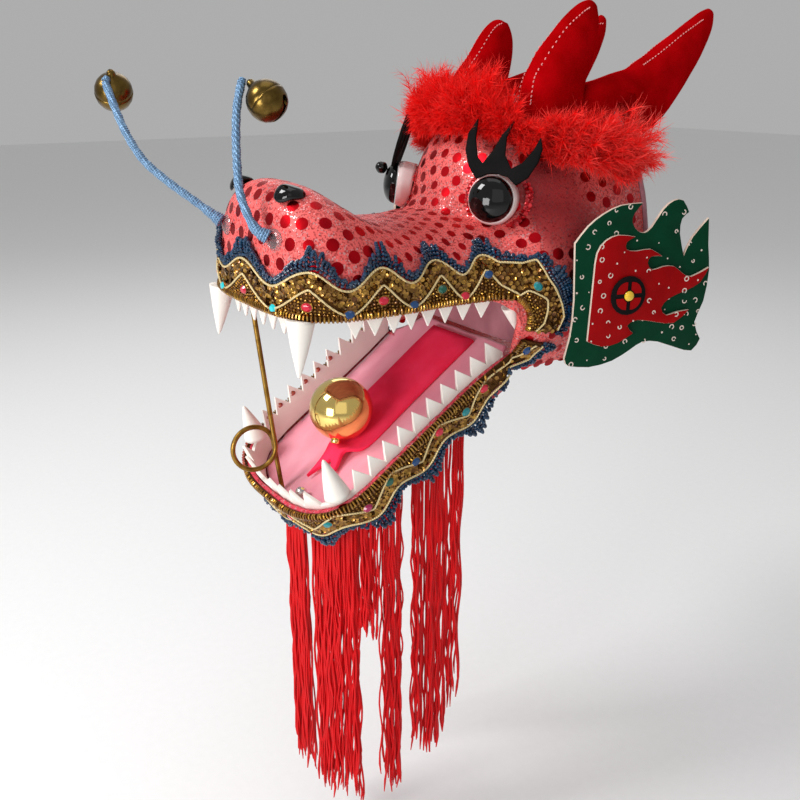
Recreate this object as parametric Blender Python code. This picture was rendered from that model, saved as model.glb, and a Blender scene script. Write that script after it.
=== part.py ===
"""Hand-held dragon dance head, built as an assembly of separate pieces.

The head faces -Y, stands upright along +Z and is symmetric about X = 0. +X is the dragon's left.
The origin is the middle of the open back, where a hand goes in. Sizes below are in millimetres and
are scaled to metres when an object is made.
"""

import math

import bmesh
import bpy
import numpy as np
from mathutils import Matrix, Vector
from mathutils.bvhtree import BVHTree

MM = 0.001
GAP = 0.4  # clearance between pieces that touch

# Driving sizes of the head
SHELL_WALL = 3.0
CLOTH_WALL = 1.5
NOSE_FRONT = -202.0
NOSE_LENGTH = 37.0
WALL_Z = -20.0  # below this height the snout's sides are upright
LIP_Z = -25.0
BELLY_DEPTH = 59.0
SHELL_BACK = -2.5
SHELL_REAR_RING = -6.0

# Head sections: station y, half width, height of the top
HEAD_SECTIONS = (
    (-202.0, 57.0, 34.3),
    (-189.0, 57.0, 34.3),
    (-181.0, 57.0, 32.3),
    (-174.0, 57.0, 29.6),
    (-165.0, 57.5, 24.0),
    (-153.0, 58.5, 16.8),
    (-144.0, 58.5, 12.2),
    (-130.0, 58.0, 10.4),
    (-114.0, 59.0, 10.0),
    (-100.0, 61.5, 12.0),
    (-88.0, 66.5, 13.0),
    (-75.0, 71.5, 20.0),
    (-60.0, 73.0, 38.0),
    (-30.0, 71.5, 64.0),
    (0.0, 68.5, 68.0),
)
# Lower edge of the shell: station y, height
LOWER_EDGE = (
    (-202.0, -25.0),
    (-108.0, -25.0),
    (-97.0, -27.0),
    (-90.0, -32.0),
    (-86.0, -40.0),
    (-84.0, -66.0),
    (0.0, -66.0),
)
NOSE_STEPS = (0.995, 0.95, 0.86, 0.72, 0.45, 0.15)
BODY_STATIONS = (
    -156.0, -143.0, -129.0, -114.0, -104.0, -97.0, -91.0, -87.5,
    -84.0, -77.0, -68.0, -56.0, -42.0, -24.0, SHELL_REAR_RING, SHELL_BACK,
)
UPPER_COLUMNS = 9
LOWER_COLUMNS = 2
# How boxy the upper part of a section is: station y, exponent
SECTION_POWERS = ((-202.0, 2.5), (-150.0, 2.5), (-110.0, 2.1), (-87.0, 1.9), (-50.0, 2.2), (0.0, 2.2))

# Cranium: centre y, half length, half width, height above the wall line
CRANIUM_Y = -15.0
CRANIUM_LENGTH = 80.0
CRANIUM_WIDTH = 62.0
CRANIUM_HEIGHT = 90.0

# Lower jaw frame: s runs forward and down, n runs up out of the tray
JAW_ANGLE = math.radians(33.5)
JAW_ORIGIN = np.array([0.0, -88.0, -57.0])
JAW_S = np.array([0.0, -math.cos(JAW_ANGLE), -math.sin(JAW_ANGLE)])
JAW_N = np.array([0.0, -math.sin(JAW_ANGLE), math.cos(JAW_ANGLE)])
JAW_FRONT = 130.5
JAW_FRONT_LENGTH = 40.0
JAW_DEPTH = 17.0
JAW_REAR_Y = -86.4
JAW_WALL = 2.5
# Half width of the tray along s
JAW_WIDTHS = ((-14.0, 66.0), (0.0, 60.0), (12.0, 57.0), (30.0, 55.5), (90.0, 55.0), (131.0, 55.0))

# Each trim's mid height, wave height, bead height and bead wave
UPPER_TRIM = (18.0, 4.2, 5.4, 2.2)
LOWER_TRIM = (14.5, 2.4, 4.2, 1.6)
# Corner rows: x, inner y, inner z, outer y, outer z
UPPER_CORNER = (
    (65.7, -89.5, -25.6, -85.0, -8.0),
    (67.2, -86.6, -28.0, -78.0, -6.5),
    (68.0, -84.6, -31.0, -72.5, -16.0),
    (68.3, -83.4, -34.5, -66.5, -25.5),
    (67.8, -83.2, -38.5, -62.5, -35.0),
    (67.0, -83.8, -42.5, -66.0, -44.5),
)
LOWER_CORNER = (
    (62.3, -87.4, -54.0, -78.0, -61.5),
    (64.5, -86.2, -50.5, -74.5, -55.0),
    (66.3, -84.8, -46.6, -70.0, -50.0),
)
# Half waves of the braid along the upper lip, measured from the middle of the nose
UPPER_WAVES = (0.0, 26.0, 49.0, 66.0, 83.0, 99.0, 116.0, 129.0, 142.0, 156.0, 171.0, 188.0)
LOWER_WAVES = (0.0, 17.0, 34.0, 51.0, 68.0, 85.0, 102.0, 119.0, 136.0, 153.0, 170.0, 187.0)


def smooth_table(x, table):
    """Read a table of (station, value) with a smooth curve through its rows."""
    xs = [row[0] for row in table]
    ys = [row[1] for row in table]
    x = min(max(x, xs[0]), xs[-1])
    i = min(max(int(np.searchsorted(xs, x)) - 1, 0), len(xs) - 2)

    def slope(k):
        a, b = max(k - 1, 0), min(k + 1, len(xs) - 1)
        return (ys[b] - ys[a]) / (xs[b] - xs[a])

    span = xs[i + 1] - xs[i]
    t = (x - xs[i]) / span
    m0, m1 = slope(i) * span, slope(i + 1) * span
    return (
        (2 * t**3 - 3 * t**2 + 1) * ys[i]
        + (t**3 - 2 * t**2 + t) * m0
        + (3 * t**2 - 2 * t**3) * ys[i + 1]
        + (t**3 - t**2) * m1
    )


def linear_table(x, table):
    """Read a table of (station, value) with straight runs."""
    return float(np.interp(x, [row[0] for row in table], [row[1] for row in table]))


def unit(v):
    """Return the unit vector along v."""
    v = np.asarray(v, float)
    return v / np.linalg.norm(v)


def jaw_point(x, s, n):
    """Return the point of the lower jaw's frame at x, s and n."""
    return np.array([x, 0.0, 0.0]) + JAW_ORIGIN + JAW_S * s + JAW_N * n


def material(name, color, roughness, metallic=0.0):
    """Return a Principled material, made once for each name."""
    found = bpy.data.materials.get(name)
    if found:
        return found
    made = bpy.data.materials.new(name)
    made.use_nodes = True
    shader = made.node_tree.nodes["Principled BSDF"]
    shader.inputs["Base Color"].default_value = (*color, 1.0)
    shader.inputs["Roughness"].default_value = roughness
    shader.inputs["Metallic"].default_value = metallic
    made.diffuse_color = (*color, 1.0)
    return made


FINISHES = {
    "dot_cloth": ((0.62, 0.10, 0.12), 0.45, 0.1),
    "mauve_cloth": ((0.42, 0.18, 0.20), 0.7, 0.0),
    "pink_satin": ((0.86, 0.40, 0.48), 0.4, 0.0),
    "crimson": ((0.70, 0.02, 0.08), 0.5, 0.0),
    "white_foam": ((0.88, 0.86, 0.82), 0.6, 0.0),
    "gold_braid": ((0.62, 0.40, 0.10), 0.35, 0.8),
    "blue_beads": ((0.02, 0.09, 0.22), 0.3, 0.1),
    "black_gloss": ((0.01, 0.01, 0.01), 0.1, 0.0),
    "eye_white": ((0.80, 0.70, 0.68), 0.35, 0.0),
    "black_foam": ((0.02, 0.02, 0.02), 0.8, 0.0),
    "red_felt": ((0.70, 0.02, 0.03), 0.7, 0.0),
    "feather": ((0.90, 0.02, 0.02), 0.8, 0.0),
    "green_foam": ((0.01, 0.14, 0.05), 0.5, 0.0),
    "red_foam": ((0.65, 0.02, 0.02), 0.5, 0.0),
    "yellow": ((0.90, 0.65, 0.05), 0.4, 0.0),
    "blue_thread": ((0.20, 0.34, 0.50), 0.4, 0.3),
    "brass": ((0.55, 0.42, 0.18), 0.3, 1.0),
    "gold": ((0.90, 0.66, 0.25), 0.08, 1.0),
    "silver": ((0.80, 0.80, 0.82), 0.2, 1.0),
    "copper": ((0.55, 0.28, 0.14), 0.35, 1.0),
    "red_cord": ((0.75, 0.01, 0.01), 0.6, 0.0),
}


SOLIDS = {}


def solid_tree(*names):
    """Return one search tree of pieces that are already built."""
    verts, faces = [], []
    for name in names:
        more_verts, more_faces = SOLIDS[name]
        faces += [tuple(len(verts) + k for k in f) for f in more_faces]
        verts += list(more_verts)
    return tree_of(verts, faces)


def clear_of(verts, faces, tree, moves, step=0.2, rounds=40):
    """Move the corners of faces that cut into a tree along their own way out, until none do."""
    moved = set()
    owners = split_faces(faces)[1]
    for _ in range(rounds):
        cutting = {owners[a] for a, _ in tree_of(verts, faces).overlap(tree)}
        if not cutting:
            break
        touched = {m for f in cutting for k in faces[f] for m in moves[k][1]}
        moved |= touched
        for k in touched:
            verts[k] = verts[k] + moves[k][0] * step
    for k in moved:
        verts[k] = verts[k] + moves[k][0] * step
    return verts


def sheet_moves(verts, way):
    """Return how a sheet's corners move, each with its partner on the sheet's other side."""
    half = len(verts) // 2
    return [(way(verts[k % half]), (k % half, k % half + half)) for k in range(2 * half)]


def add_object(name, verts, faces, finish, smooth_angle=35.0):
    """Make a named object from points in millimetres and its faces."""
    SOLIDS[name] = (verts, faces)
    mesh = bpy.data.meshes.new(name)
    mesh.from_pydata([tuple(float(c) * MM for c in v) for v in verts], [], faces)
    mesh.validate()
    made = bmesh.new()
    made.from_mesh(mesh)
    bmesh.ops.remove_doubles(made, verts=made.verts, dist=0.00001)
    bmesh.ops.recalc_face_normals(made, faces=made.faces)
    made.to_mesh(mesh)
    made.free()
    mesh.shade_smooth()
    mesh.set_sharp_from_angle(angle=math.radians(smooth_angle))
    color, roughness, metallic = FINISHES[finish]
    mesh.materials.append(material(finish, color, roughness, metallic))
    made = bpy.data.objects.new(name, mesh)
    bpy.context.scene.collection.objects.link(made)
    return made


def grid_faces(rows, columns, closed=False, start=0):
    """Return the quads of a grid of points, with its last column joined to its first if closed."""
    faces = []
    for i in range(rows - 1):
        for j in range(columns if closed else columns - 1):
            k = (j + 1) % columns
            a, b = start + i * columns, start + (i + 1) * columns
            faces.append((a + j, a + k, b + k, b + j))
    return faces


def thicken(verts, faces, wall):
    """Give an open sheet a wall: the faces turn their back to the side the wall grows on."""
    verts = [np.asarray(v, float) for v in verts]
    around = [[] for _ in verts]
    edges = {}
    for face in faces:
        normal = np.zeros(3)
        for k in range(len(face)):
            normal += np.cross(verts[face[k]], verts[face[(k + 1) % len(face)]])
            edge = (face[k], face[(k + 1) % len(face)])
            edges[edge] = edges.get(edge, 0) + 1
        length = np.linalg.norm(normal)
        if length > 1e-9:
            for k in face:
                around[k].append(normal / length)
    inner = []
    for v, normals in zip(verts, around):
        system = np.array(normals)
        shift = np.linalg.lstsq(system, -wall * np.ones(len(system)), rcond=0.25)[0]
        inner.append(v + shift)
    count = len(verts)
    solid = [tuple(f) for f in faces]
    solid += [tuple(count + k for k in reversed(f)) for f in faces]
    for a, b in edges:
        if (b, a) not in edges:
            solid.append((b, a, count + a, count + b))
    return verts + inner, solid


# Head shell


def nose_round(y, power):
    """Return how much of the full width or height the snout keeps near its front."""
    if y >= NOSE_FRONT + NOSE_LENGTH:
        return 1.0
    u = (NOSE_FRONT + NOSE_LENGTH - y) / NOSE_LENGTH
    return (1.0 - min(u, 1.0) ** power) ** (1.0 / power)


def half_width(y):
    """Return the head's half width at the height where its sides are upright."""
    return smooth_table(y, [(r[0], r[1]) for r in HEAD_SECTIONS]) * nose_round(y, 3.2)


def crown_height(y):
    """Return the height of the snout's top above the line where its sides turn upright."""
    full = smooth_table(y, [(r[0], r[2]) for r in HEAD_SECTIONS]) - WALL_Z
    return full * nose_round(y, 4.5)


def cranium_radius(y, angle):
    """Return the cranium's radius at station y, at an angle from straight up."""
    ahead = min(max((CRANIUM_Y - y) / CRANIUM_LENGTH, 0.0), 1.0)
    room = 1.0 - ahead**2.4
    if room <= 0.0:
        return 0.0
    side = math.sin(angle) / CRANIUM_WIDTH
    rise = math.cos(angle) / CRANIUM_HEIGHT
    low, high = 0.0, 110.0
    for _ in range(40):
        middle = 0.5 * (low + high)
        if (middle * side) ** 2.2 + (middle * rise) ** 3.2 > room:
            high = middle
        else:
            low = middle
    return low


def head_radius(y, angle):
    """Return the head's radius about the wall line, as a soft maximum of snout and cranium."""
    side = math.sin(angle) / max(half_width(y), 0.1)
    rise = math.cos(angle) / max(crown_height(y), 0.1)
    power = linear_table(y, SECTION_POWERS)
    snout = (side**power + rise**power) ** (-1.0 / power)
    cranium = cranium_radius(y, angle)
    soft = 5.0
    blend = max(soft - abs(snout - cranium), 0.0) / soft
    return max(snout, cranium) + blend * blend * soft * 0.25


def belly_point(y, z):
    """Return the half width of the cheek at a height below the wall line."""
    if y < -100.0:
        return half_width(y)
    depth = (WALL_Z - z) / BELLY_DEPTH
    round_under = (1.0 - depth**3) ** (1.0 / 3.0)
    share = min(max((y + 100.0) / 12.0, 0.0), 1.0)
    return half_width(y) * (1.0 + share * (round_under - 1.0))


def section(y):
    """Return half a head section, from the top to its lower edge."""
    y = min(y, SHELL_REAR_RING)
    points = []
    for j in range(UPPER_COLUMNS):
        angle = 0.5 * math.pi * (j / UPPER_COLUMNS) ** 0.9
        radius = head_radius(y, angle)
        points.append((radius * math.sin(angle), WALL_Z + radius * math.cos(angle)))
    edge = linear_table(y, LOWER_EDGE)
    side = head_radius(y, 0.5 * math.pi) / half_width(y)
    for j in range(LOWER_COLUMNS + 1):
        z = WALL_Z + (edge - WALL_Z) * j / LOWER_COLUMNS
        points.append((belly_point(y, z) * (side if j == 0 else 1.0), z))
    return points


def head_sheet():
    """Return the outer skin of the head as points and faces that look outward."""
    stations = [NOSE_FRONT + NOSE_LENGTH * (1.0 - u) for u in NOSE_STEPS] + list(BODY_STATIONS)
    verts = []
    for y in stations:
        half = section(y)
        for x, z in reversed(half[1:]):
            verts.append((-x, y, z))
        for x, z in half:
            verts.append((x, y, z))
    columns = len(verts) // len(stations)
    faces = [tuple(f) for f in grid_faces(len(stations), columns)]
    middle = columns // 2
    for j in range(middle - 1):
        left, right = j, columns - 1 - j
        faces.append((left, left + 1, right - 1, right))
    faces.append((middle - 1, middle, middle + 1))
    return verts, faces


def oriented(verts, faces, outside):
    """Turn a sheet's faces so that they look away from a point inside."""
    fixed = []
    for face in faces:
        points = [np.asarray(verts[k], float) for k in face]
        normal = np.zeros(3)
        for k in range(len(points)):
            normal += np.cross(points[k], points[(k + 1) % len(points)])
        away = sum(points) / len(points) - outside(sum(points) / len(points))
        fixed.append(tuple(face) if normal @ away > 0 else tuple(reversed(face)))
    return fixed


def split_faces(faces):
    """Split quads along both diagonals, and return the pieces with the faces that they come from."""
    pieces, owners = [], []
    for index, face in enumerate(faces):
        if len(face) == 4:
            a, b, c, d = face
            pieces += [(a, b, c), (a, c, d), (a, b, d), (b, c, d)]
            owners += [index] * 4
        else:
            pieces.append(tuple(face))
            owners.append(index)
    return pieces, owners


def tree_of(verts, faces):
    """Return a search tree of a mesh in millimetres, with every quad split both ways."""
    return BVHTree.FromPolygons([Vector(v) for v in verts], split_faces(faces)[0])


def hit_from(tree, point, direction, reach=40.0):
    """Cast a ray at a surface from outside and return where it lands, or None."""
    direction = unit(direction)
    start = np.asarray(point, float) - direction * reach
    found = tree.ray_cast(Vector(start), Vector(direction), 2.0 * reach)
    return None if found[0] is None else np.array(found[0])


def build_head():
    """Build the shell and return the outer skin's search tree."""
    verts, faces = head_sheet()
    spine = lambda c: np.array([0.0, max(c[1], -170.0), -20.0])
    faces = oriented(verts, faces, spine)
    solid_verts, solid_faces = thicken(verts, faces, SHELL_WALL)
    add_object("head_shell", solid_verts, solid_faces, "dot_cloth")
    return tree_of(verts, faces)


def belly_curve(y, inset, start_angle, steps):
    """Return points round the underside of a head section, inset from the outer skin."""
    y = min(y, SHELL_REAR_RING)
    width = half_width(y)
    points = []
    for k in range(steps + 1):
        angle = start_angle + (0.5 * math.pi - start_angle) * k / steps
        c, s = max(math.cos(angle), 0.0), math.sin(angle)
        x, drop = width * c ** (2 / 3), BELLY_DEPTH * s ** (2 / 3)
        normal = unit([(x / width) ** 2 / width, 0.0, (drop / BELLY_DEPTH) ** 2 / BELLY_DEPTH])
        points.append((x - inset * normal[0], WALL_Z - drop + inset * normal[2]))
    return points


def build_throat():
    """Build the cloth gusset that closes the underside between the cheeks."""
    stations = [-84.2, -62.0, -34.0, SHELL_REAR_RING, SHELL_BACK]
    inset = SHELL_WALL + GAP
    verts = []
    steps = 7
    for index, y in enumerate(stations):
        half = belly_curve(y, inset, 0.66, steps)
        row = [(-x, y, z) for x, z in half] + [(x, y, z) for x, z in reversed(half[:-1])]
        if index == 0:
            row = [(x, y + 17.0 * (abs(x) / 60.0) ** 3, z) for x, y, z in row]
        verts += row
    columns = 2 * steps + 1
    faces = oriented(verts, grid_faces(len(stations), columns), lambda c: np.array([0, c[1], 0.0]))
    verts, faces = thicken(verts, faces, CLOTH_WALL)
    moves = sheet_moves(verts, lambda v: unit([-v[0], 0.0, 20.0 - v[2]]))
    clear_of(verts, faces, solid_tree("head_shell"), moves)
    add_object("throat_gusset", verts, faces, "dot_cloth")


def build_binding():
    """Build the flat binding ring round the open back."""
    outer_inset, inner_inset = -1.2, 5.6
    rings = []
    for inset in (outer_inset, inner_inset):
        half = section(SHELL_BACK)[: UPPER_COLUMNS + 1]
        points = []
        for k, (x, z) in enumerate(half):
            ahead = half[min(k + 1, len(half) - 1)]
            behind = half[max(k - 1, 0)]
            tangent = unit([ahead[0] - behind[0], ahead[1] - behind[1]])
            if k == 0:
                tangent = np.array([1.0, 0.0])
            points.append((x + inset * tangent[1], z - inset * tangent[0]))
        points += belly_curve(SHELL_BACK, inset, 0.08, 9)[1:]
        loop = points + [(-x, z) for x, z in reversed(points[1:-1])]
        rings.append(loop)
    verts = []
    for loop, y in ((rings[0], -2.1), (rings[0], 0.0), (rings[1], 0.0), (rings[1], -2.1)):
        verts += [(x, y, z) for x, z in loop]
    count = len(rings[0])
    faces = grid_faces(4, count, closed=True)
    for j in range(count):
        k = (j + 1) % count
        faces.append((3 * count + j, 3 * count + k, k, j))
    add_object("back_binding", verts, faces, "mauve_cloth")


# Paths round the two lips


def upper_outline(inset=0.0, rear=-84.0, steps=96):
    """Return the right half of the snout's plan outline and its normals, front to rear."""
    points = []
    for k in range(steps + 1):
        share = k / steps
        if share < 0.5:
            turn = math.sin(math.pi * share) ** (2 / 3.2)
            y = NOSE_FRONT + NOSE_LENGTH * (1 - (1 - turn**3.2) ** (1 / 3.2))
            points.append(np.array([half_width(y) if k else 0.0, y]))
        else:
            y = NOSE_FRONT + NOSE_LENGTH + (rear - NOSE_FRONT - NOSE_LENGTH) * (share - 0.5) * 2
            points.append(np.array([half_width(y), y]))
    return offset_line(points, inset)


def offset_line(points, inset):
    """Inset a plan line that starts at the middle of the front, and return it with its normals."""
    result = []
    for k, p in enumerate(points):
        ahead, behind = points[min(k + 1, len(points) - 1)], points[max(k - 1, 0)]
        if k == 0:
            behind = np.array([-ahead[0], ahead[1]])
        tangent = unit(ahead - behind)
        normal = np.array([tangent[1], -tangent[0]])
        result.append((p - normal * inset, normal))
    return result


def jaw_width(s):
    """Return the tray's half width at s."""
    u = max((s - JAW_FRONT + JAW_FRONT_LENGTH) / JAW_FRONT_LENGTH, 0.0)
    return smooth_table(s, JAW_WIDTHS) * (1.0 - min(u, 1.0) ** 2.8) ** (1 / 2.8)


def lower_outline(inset=0.0, rear=-2.0, steps=96):
    """Return the right half of the tray's plan outline in x and -s, with its normals."""
    points = []
    start = JAW_FRONT - JAW_FRONT_LENGTH
    for k in range(steps + 1):
        share = k / steps
        if share < 0.5:
            turn = math.sin(math.pi * share) ** (2 / 2.8)
            s = start + JAW_FRONT_LENGTH * (1 - turn**2.8) ** (1 / 2.8)
            points.append(np.array([jaw_width(s) if k else 0.0, -s]))
        else:
            s = start + (rear - start) * (share - 0.5) * 2
            points.append(np.array([jaw_width(s), -s]))
    return offset_line(points, inset)


def resample(line, count=None, step=None, at=None):
    """Read a line at even steps or given distances; each row has its distance from the start."""
    points = np.array([p for p, _ in line])
    normals = np.array([n for _, n in line])
    lengths = np.concatenate([[0.0], np.cumsum(np.linalg.norm(np.diff(points, axis=0), axis=1))])
    if at is None:
        count = count or max(int(round(lengths[-1] / step)), 2)
        at = np.linspace(0.0, lengths[-1], count + 1)
    rows = []
    for a in at:
        p = np.array([np.interp(a, lengths, points[:, i]) for i in range(2)])
        n = unit([np.interp(a, lengths, normals[:, i]) for i in range(2)])
        rows.append((p, n, a))
    return rows


def both_sides(rows):
    """Join a half line with its mirror image, from the far end round the front to the near end."""
    far = [(p * [-1, 1], n * [-1, 1], -a) for p, n, a in reversed(rows[1:])]
    return far + rows


def wave_at(distance, nodes):
    """Return the braid's wave, +1 on a crest and -1 in a trough, at a distance from the middle."""
    distance = min(abs(distance), nodes[-1])
    i = min(int(np.searchsorted(nodes, distance, side="right")) - 1, len(nodes) - 2)
    share = (distance - nodes[i]) / (nodes[i + 1] - nodes[i])
    sign = 1.0 if i % 2 == 0 else -1.0
    return sign * math.cos(math.pi * share)


# Each ribbon station holds: lip point, outward normal, width direction, wave value


def wave_stops(waves, end):
    """Return the distances of a braid's crests, troughs and the places midway, up to an end."""
    middles = [0.5 * (a + b) for a, b in zip(waves, waves[1:])]
    return sorted(d for d in list(waves) + middles if d < end)


def upper_stations():
    """Return the stations of the upper braid, from far corner to near corner."""
    rows = resample(upper_outline(0.0, rear=-93.0), at=wave_stops(UPPER_WAVES, 150.0))
    half = []
    for p, n, a in rows:
        point = np.array([p[0], p[1], LIP_Z])
        height = UPPER_TRIM[0] + UPPER_TRIM[1] * wave_at(a, UPPER_WAVES)
        half.append((point, np.array([n[0], n[1], 0.0]), np.array([0.0, 0.0, 1.0]), a, height))
    return mirror_stations(half + corner_stations(UPPER_CORNER, half[-1][3]))


def corner_stations(table, distance):
    """Return a braid's stations at the corner of the mouth, from its table of edges."""
    rows = []
    for x, inner_y, inner_z, outer_y, outer_z in table:
        run = np.array([0.0, outer_y - inner_y, outer_z - inner_z])
        distance += 6.0
        point = np.array([x, inner_y, inner_z])
        rows.append((point, np.array([1.0, 0.0, 0.0]), unit(run), distance, np.linalg.norm(run)))
    return rows


def lower_stations():
    """Return the stations of the lower braid, from far corner to near corner."""
    rows = resample(lower_outline(0.0, rear=7.0), at=wave_stops(LOWER_WAVES, 158.0))
    half = []
    for p, n, a in rows:
        point = jaw_point(p[0], -p[1], 0.0)
        outward = np.array([n[0], 0.0, 0.0]) - JAW_S * n[1]
        height = LOWER_TRIM[0] + LOWER_TRIM[1] * wave_at(a, LOWER_WAVES)
        half.append((point, outward, -JAW_N, a, height))
    return mirror_stations(half + corner_stations(LOWER_CORNER, half[-1][3]))


def mirror_stations(half):
    """Add the far side's stations before the near side's."""
    flip = np.array([-1.0, 1.0, 1.0])
    far = [(p * flip, n * flip, w * flip, -a, h) for p, n, w, a, h in reversed(half[1:])]
    return far + half


def on_skin(skin, point, way, outward, level):
    """Return the place on a skin at a level from a lip, and the skin's way out there.

    The upper lip's band follows the rounded snout; the lower one hangs straight from its rim.
    """
    if abs(way @ JAW_N) > 0.999:
        found = hit_from(skin, point + way * level, -outward, reach=12.0)
        straight = point + way * level
        if found is None or abs((found - straight) @ outward) > 1.5:
            found = straight
        return found, outward
    place, normal = np.array(point), outward
    gone = 0.0
    while gone < level:
        length = min(1.5, level - gone)
        along = unit(way - normal * (way @ normal))
        near = skin.find_nearest(Vector(place + along * length))
        place, facing = np.array(near[0]), np.array(near[1])
        facing = facing if facing @ outward > -0.3 else -facing
        normal = unit(0.5 * normal + 0.5 * facing)
        gone += length
    return place, normal


def ribbon(skin, solid, stations, heights, lifts, backs):
    """Build a ribbon on the skin: heights and lifts give its outer profile, backs its inner levels."""
    verts, moves, rows = [], [], len(lifts)
    columns = rows + len(backs)
    for index, (point, outward, way, _, _) in enumerate(stations):
        whole = range(len(verts), len(verts) + columns)
        places = [on_skin(skin, point, way, outward, level) for level in heights(index)]
        for (place, normal), lift in zip(places, lifts):
            verts.append(place + normal * lift)
            moves.append((normal, whole))
        for j in reversed(backs):
            verts.append(places[j][0] + places[j][1] * GAP)
            moves.append((places[j][1], whole))
    faces = grid_faces(len(stations), columns, closed=True)
    faces += [tuple(reversed(range(columns)))]
    faces += [tuple((len(stations) - 1) * columns + k for k in range(columns))]
    clear_of(verts, faces, solid, moves)
    return verts, faces


def set_stones(target, centers):
    """Raise a cut stone with a table and eight facets in the ribbon's cells nearest to the centers."""
    mesh = bmesh.new()
    mesh.from_mesh(target.data)
    mesh.faces.ensure_lookup_table()
    wanted = []
    for center in centers:
        best = min(mesh.faces, key=lambda f: (f.calc_center_median() - Vector(center)).length)
        if best not in wanted and len(best.verts) == 4:
            wanted.append(best)
    for face in wanted:
        bmesh.ops.inset_individual(mesh, faces=[face], thickness=0.6 * MM, depth=0.0)
        bmesh.ops.inset_individual(mesh, faces=[face], thickness=0.3 * MM, depth=0.9 * MM)
        bmesh.ops.inset_individual(mesh, faces=[face], thickness=0.7 * MM, depth=0.6 * MM)
    mesh.to_mesh(target.data)
    mesh.free()
    target.data.shade_smooth()
    target.data.set_sharp_from_angle(angle=math.radians(25.0))


def build_braid(name, skin, solid, stations, waves):
    """Build one gold braid band with its cords and set stones."""

    def heights(index):
        full = stations[index][4]
        return (0.4, 1.9, 0.5 * full + 0.6, full - 3.0, full - 1.4, full)

    lifts = (1.4, 2.4, 2.4, 2.3, 3.2, 2.2)
    verts, faces = ribbon(skin, solid, stations, heights, lifts, (0, 2, 5))
    made = add_object(name, verts, faces, "gold_braid")
    centers = []
    for (point, outward, way, distance, full), after in zip(stations, stations[1:]):
        if abs(distance) in waves[::2]:
            place, normal = on_skin(skin, 0.5 * (point + after[0]), way, outward, 0.3 * full)
            centers.append((place + normal * 2.6) * MM)
    set_stones(made, centers)


def build_bead_edge(name, skin, solid, stations, waves, trim):
    """Build the blue bead scallops outside a braid, with a spike near each crest."""

    def heights(index):
        distance, start = stations[index][3], stations[index][4] + GAP + 0.3
        wave = wave_at(distance, waves)
        size = trim[2] + trim[3] * wave + (2.5 if wave > 0.8 else 0.0)
        if trim is LOWER_TRIM and abs(distance) < 62.0:
            size *= 0.7
        return (start, start + 0.6 * size, start + size)

    verts, faces = ribbon(skin, solid, stations, heights, (3.0, 3.4, 1.8), (0, 2))
    add_object(name, verts, faces, "blue_beads")


def tooth_strip(rows, place, bottom, top, teeth, tooth, inner):
    """Build a foam strip along a lip: rows of points, with a row of pointed teeth on one edge."""
    verts = []
    for index, (p, n, a) in enumerate(rows):
        tip = top + (tooth if teeth(index) else 0.0)
        q = p - n * inner
        taper = p - n * inner * 0.35
        for plan, level in ((p, bottom), (taper if teeth(index) else p, tip), (q, tip), (q, bottom)):
            verts.append(place(plan, level))
    faces = grid_faces(len(rows), 4, closed=True)
    faces.append((0, 1, 2, 3))
    end = 4 * (len(rows) - 1)
    faces.append((end + 3, end + 2, end + 1, end))
    return verts, faces


def cone(base, tip, radius, sides=8, rings=3):
    """Return a rounded, slightly curved tooth from a base centre to a tip."""
    axis = tip - base
    across = unit(np.cross(axis, [0.0, 0.3, 1.0] if abs(unit(axis)[2]) < 0.9 else [0, 1.0, 0]))
    other = unit(np.cross(axis, across))
    verts = []
    for k in range(rings + 1):
        t = k / (rings + 0.6)
        size = radius * (1.0 - t) ** 0.75
        for j in range(sides):
            angle = 2 * math.pi * j / sides
            verts.append(base + axis * t + (across * math.cos(angle) + other * math.sin(angle)) * size)
    verts.append(tip)
    faces = grid_faces(rings + 1, sides, closed=True)
    last = rings * sides
    faces += [(last + j, last + (j + 1) % sides, len(verts) - 1) for j in range(sides)]
    faces.append(tuple(range(sides)))
    return verts, faces


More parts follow.
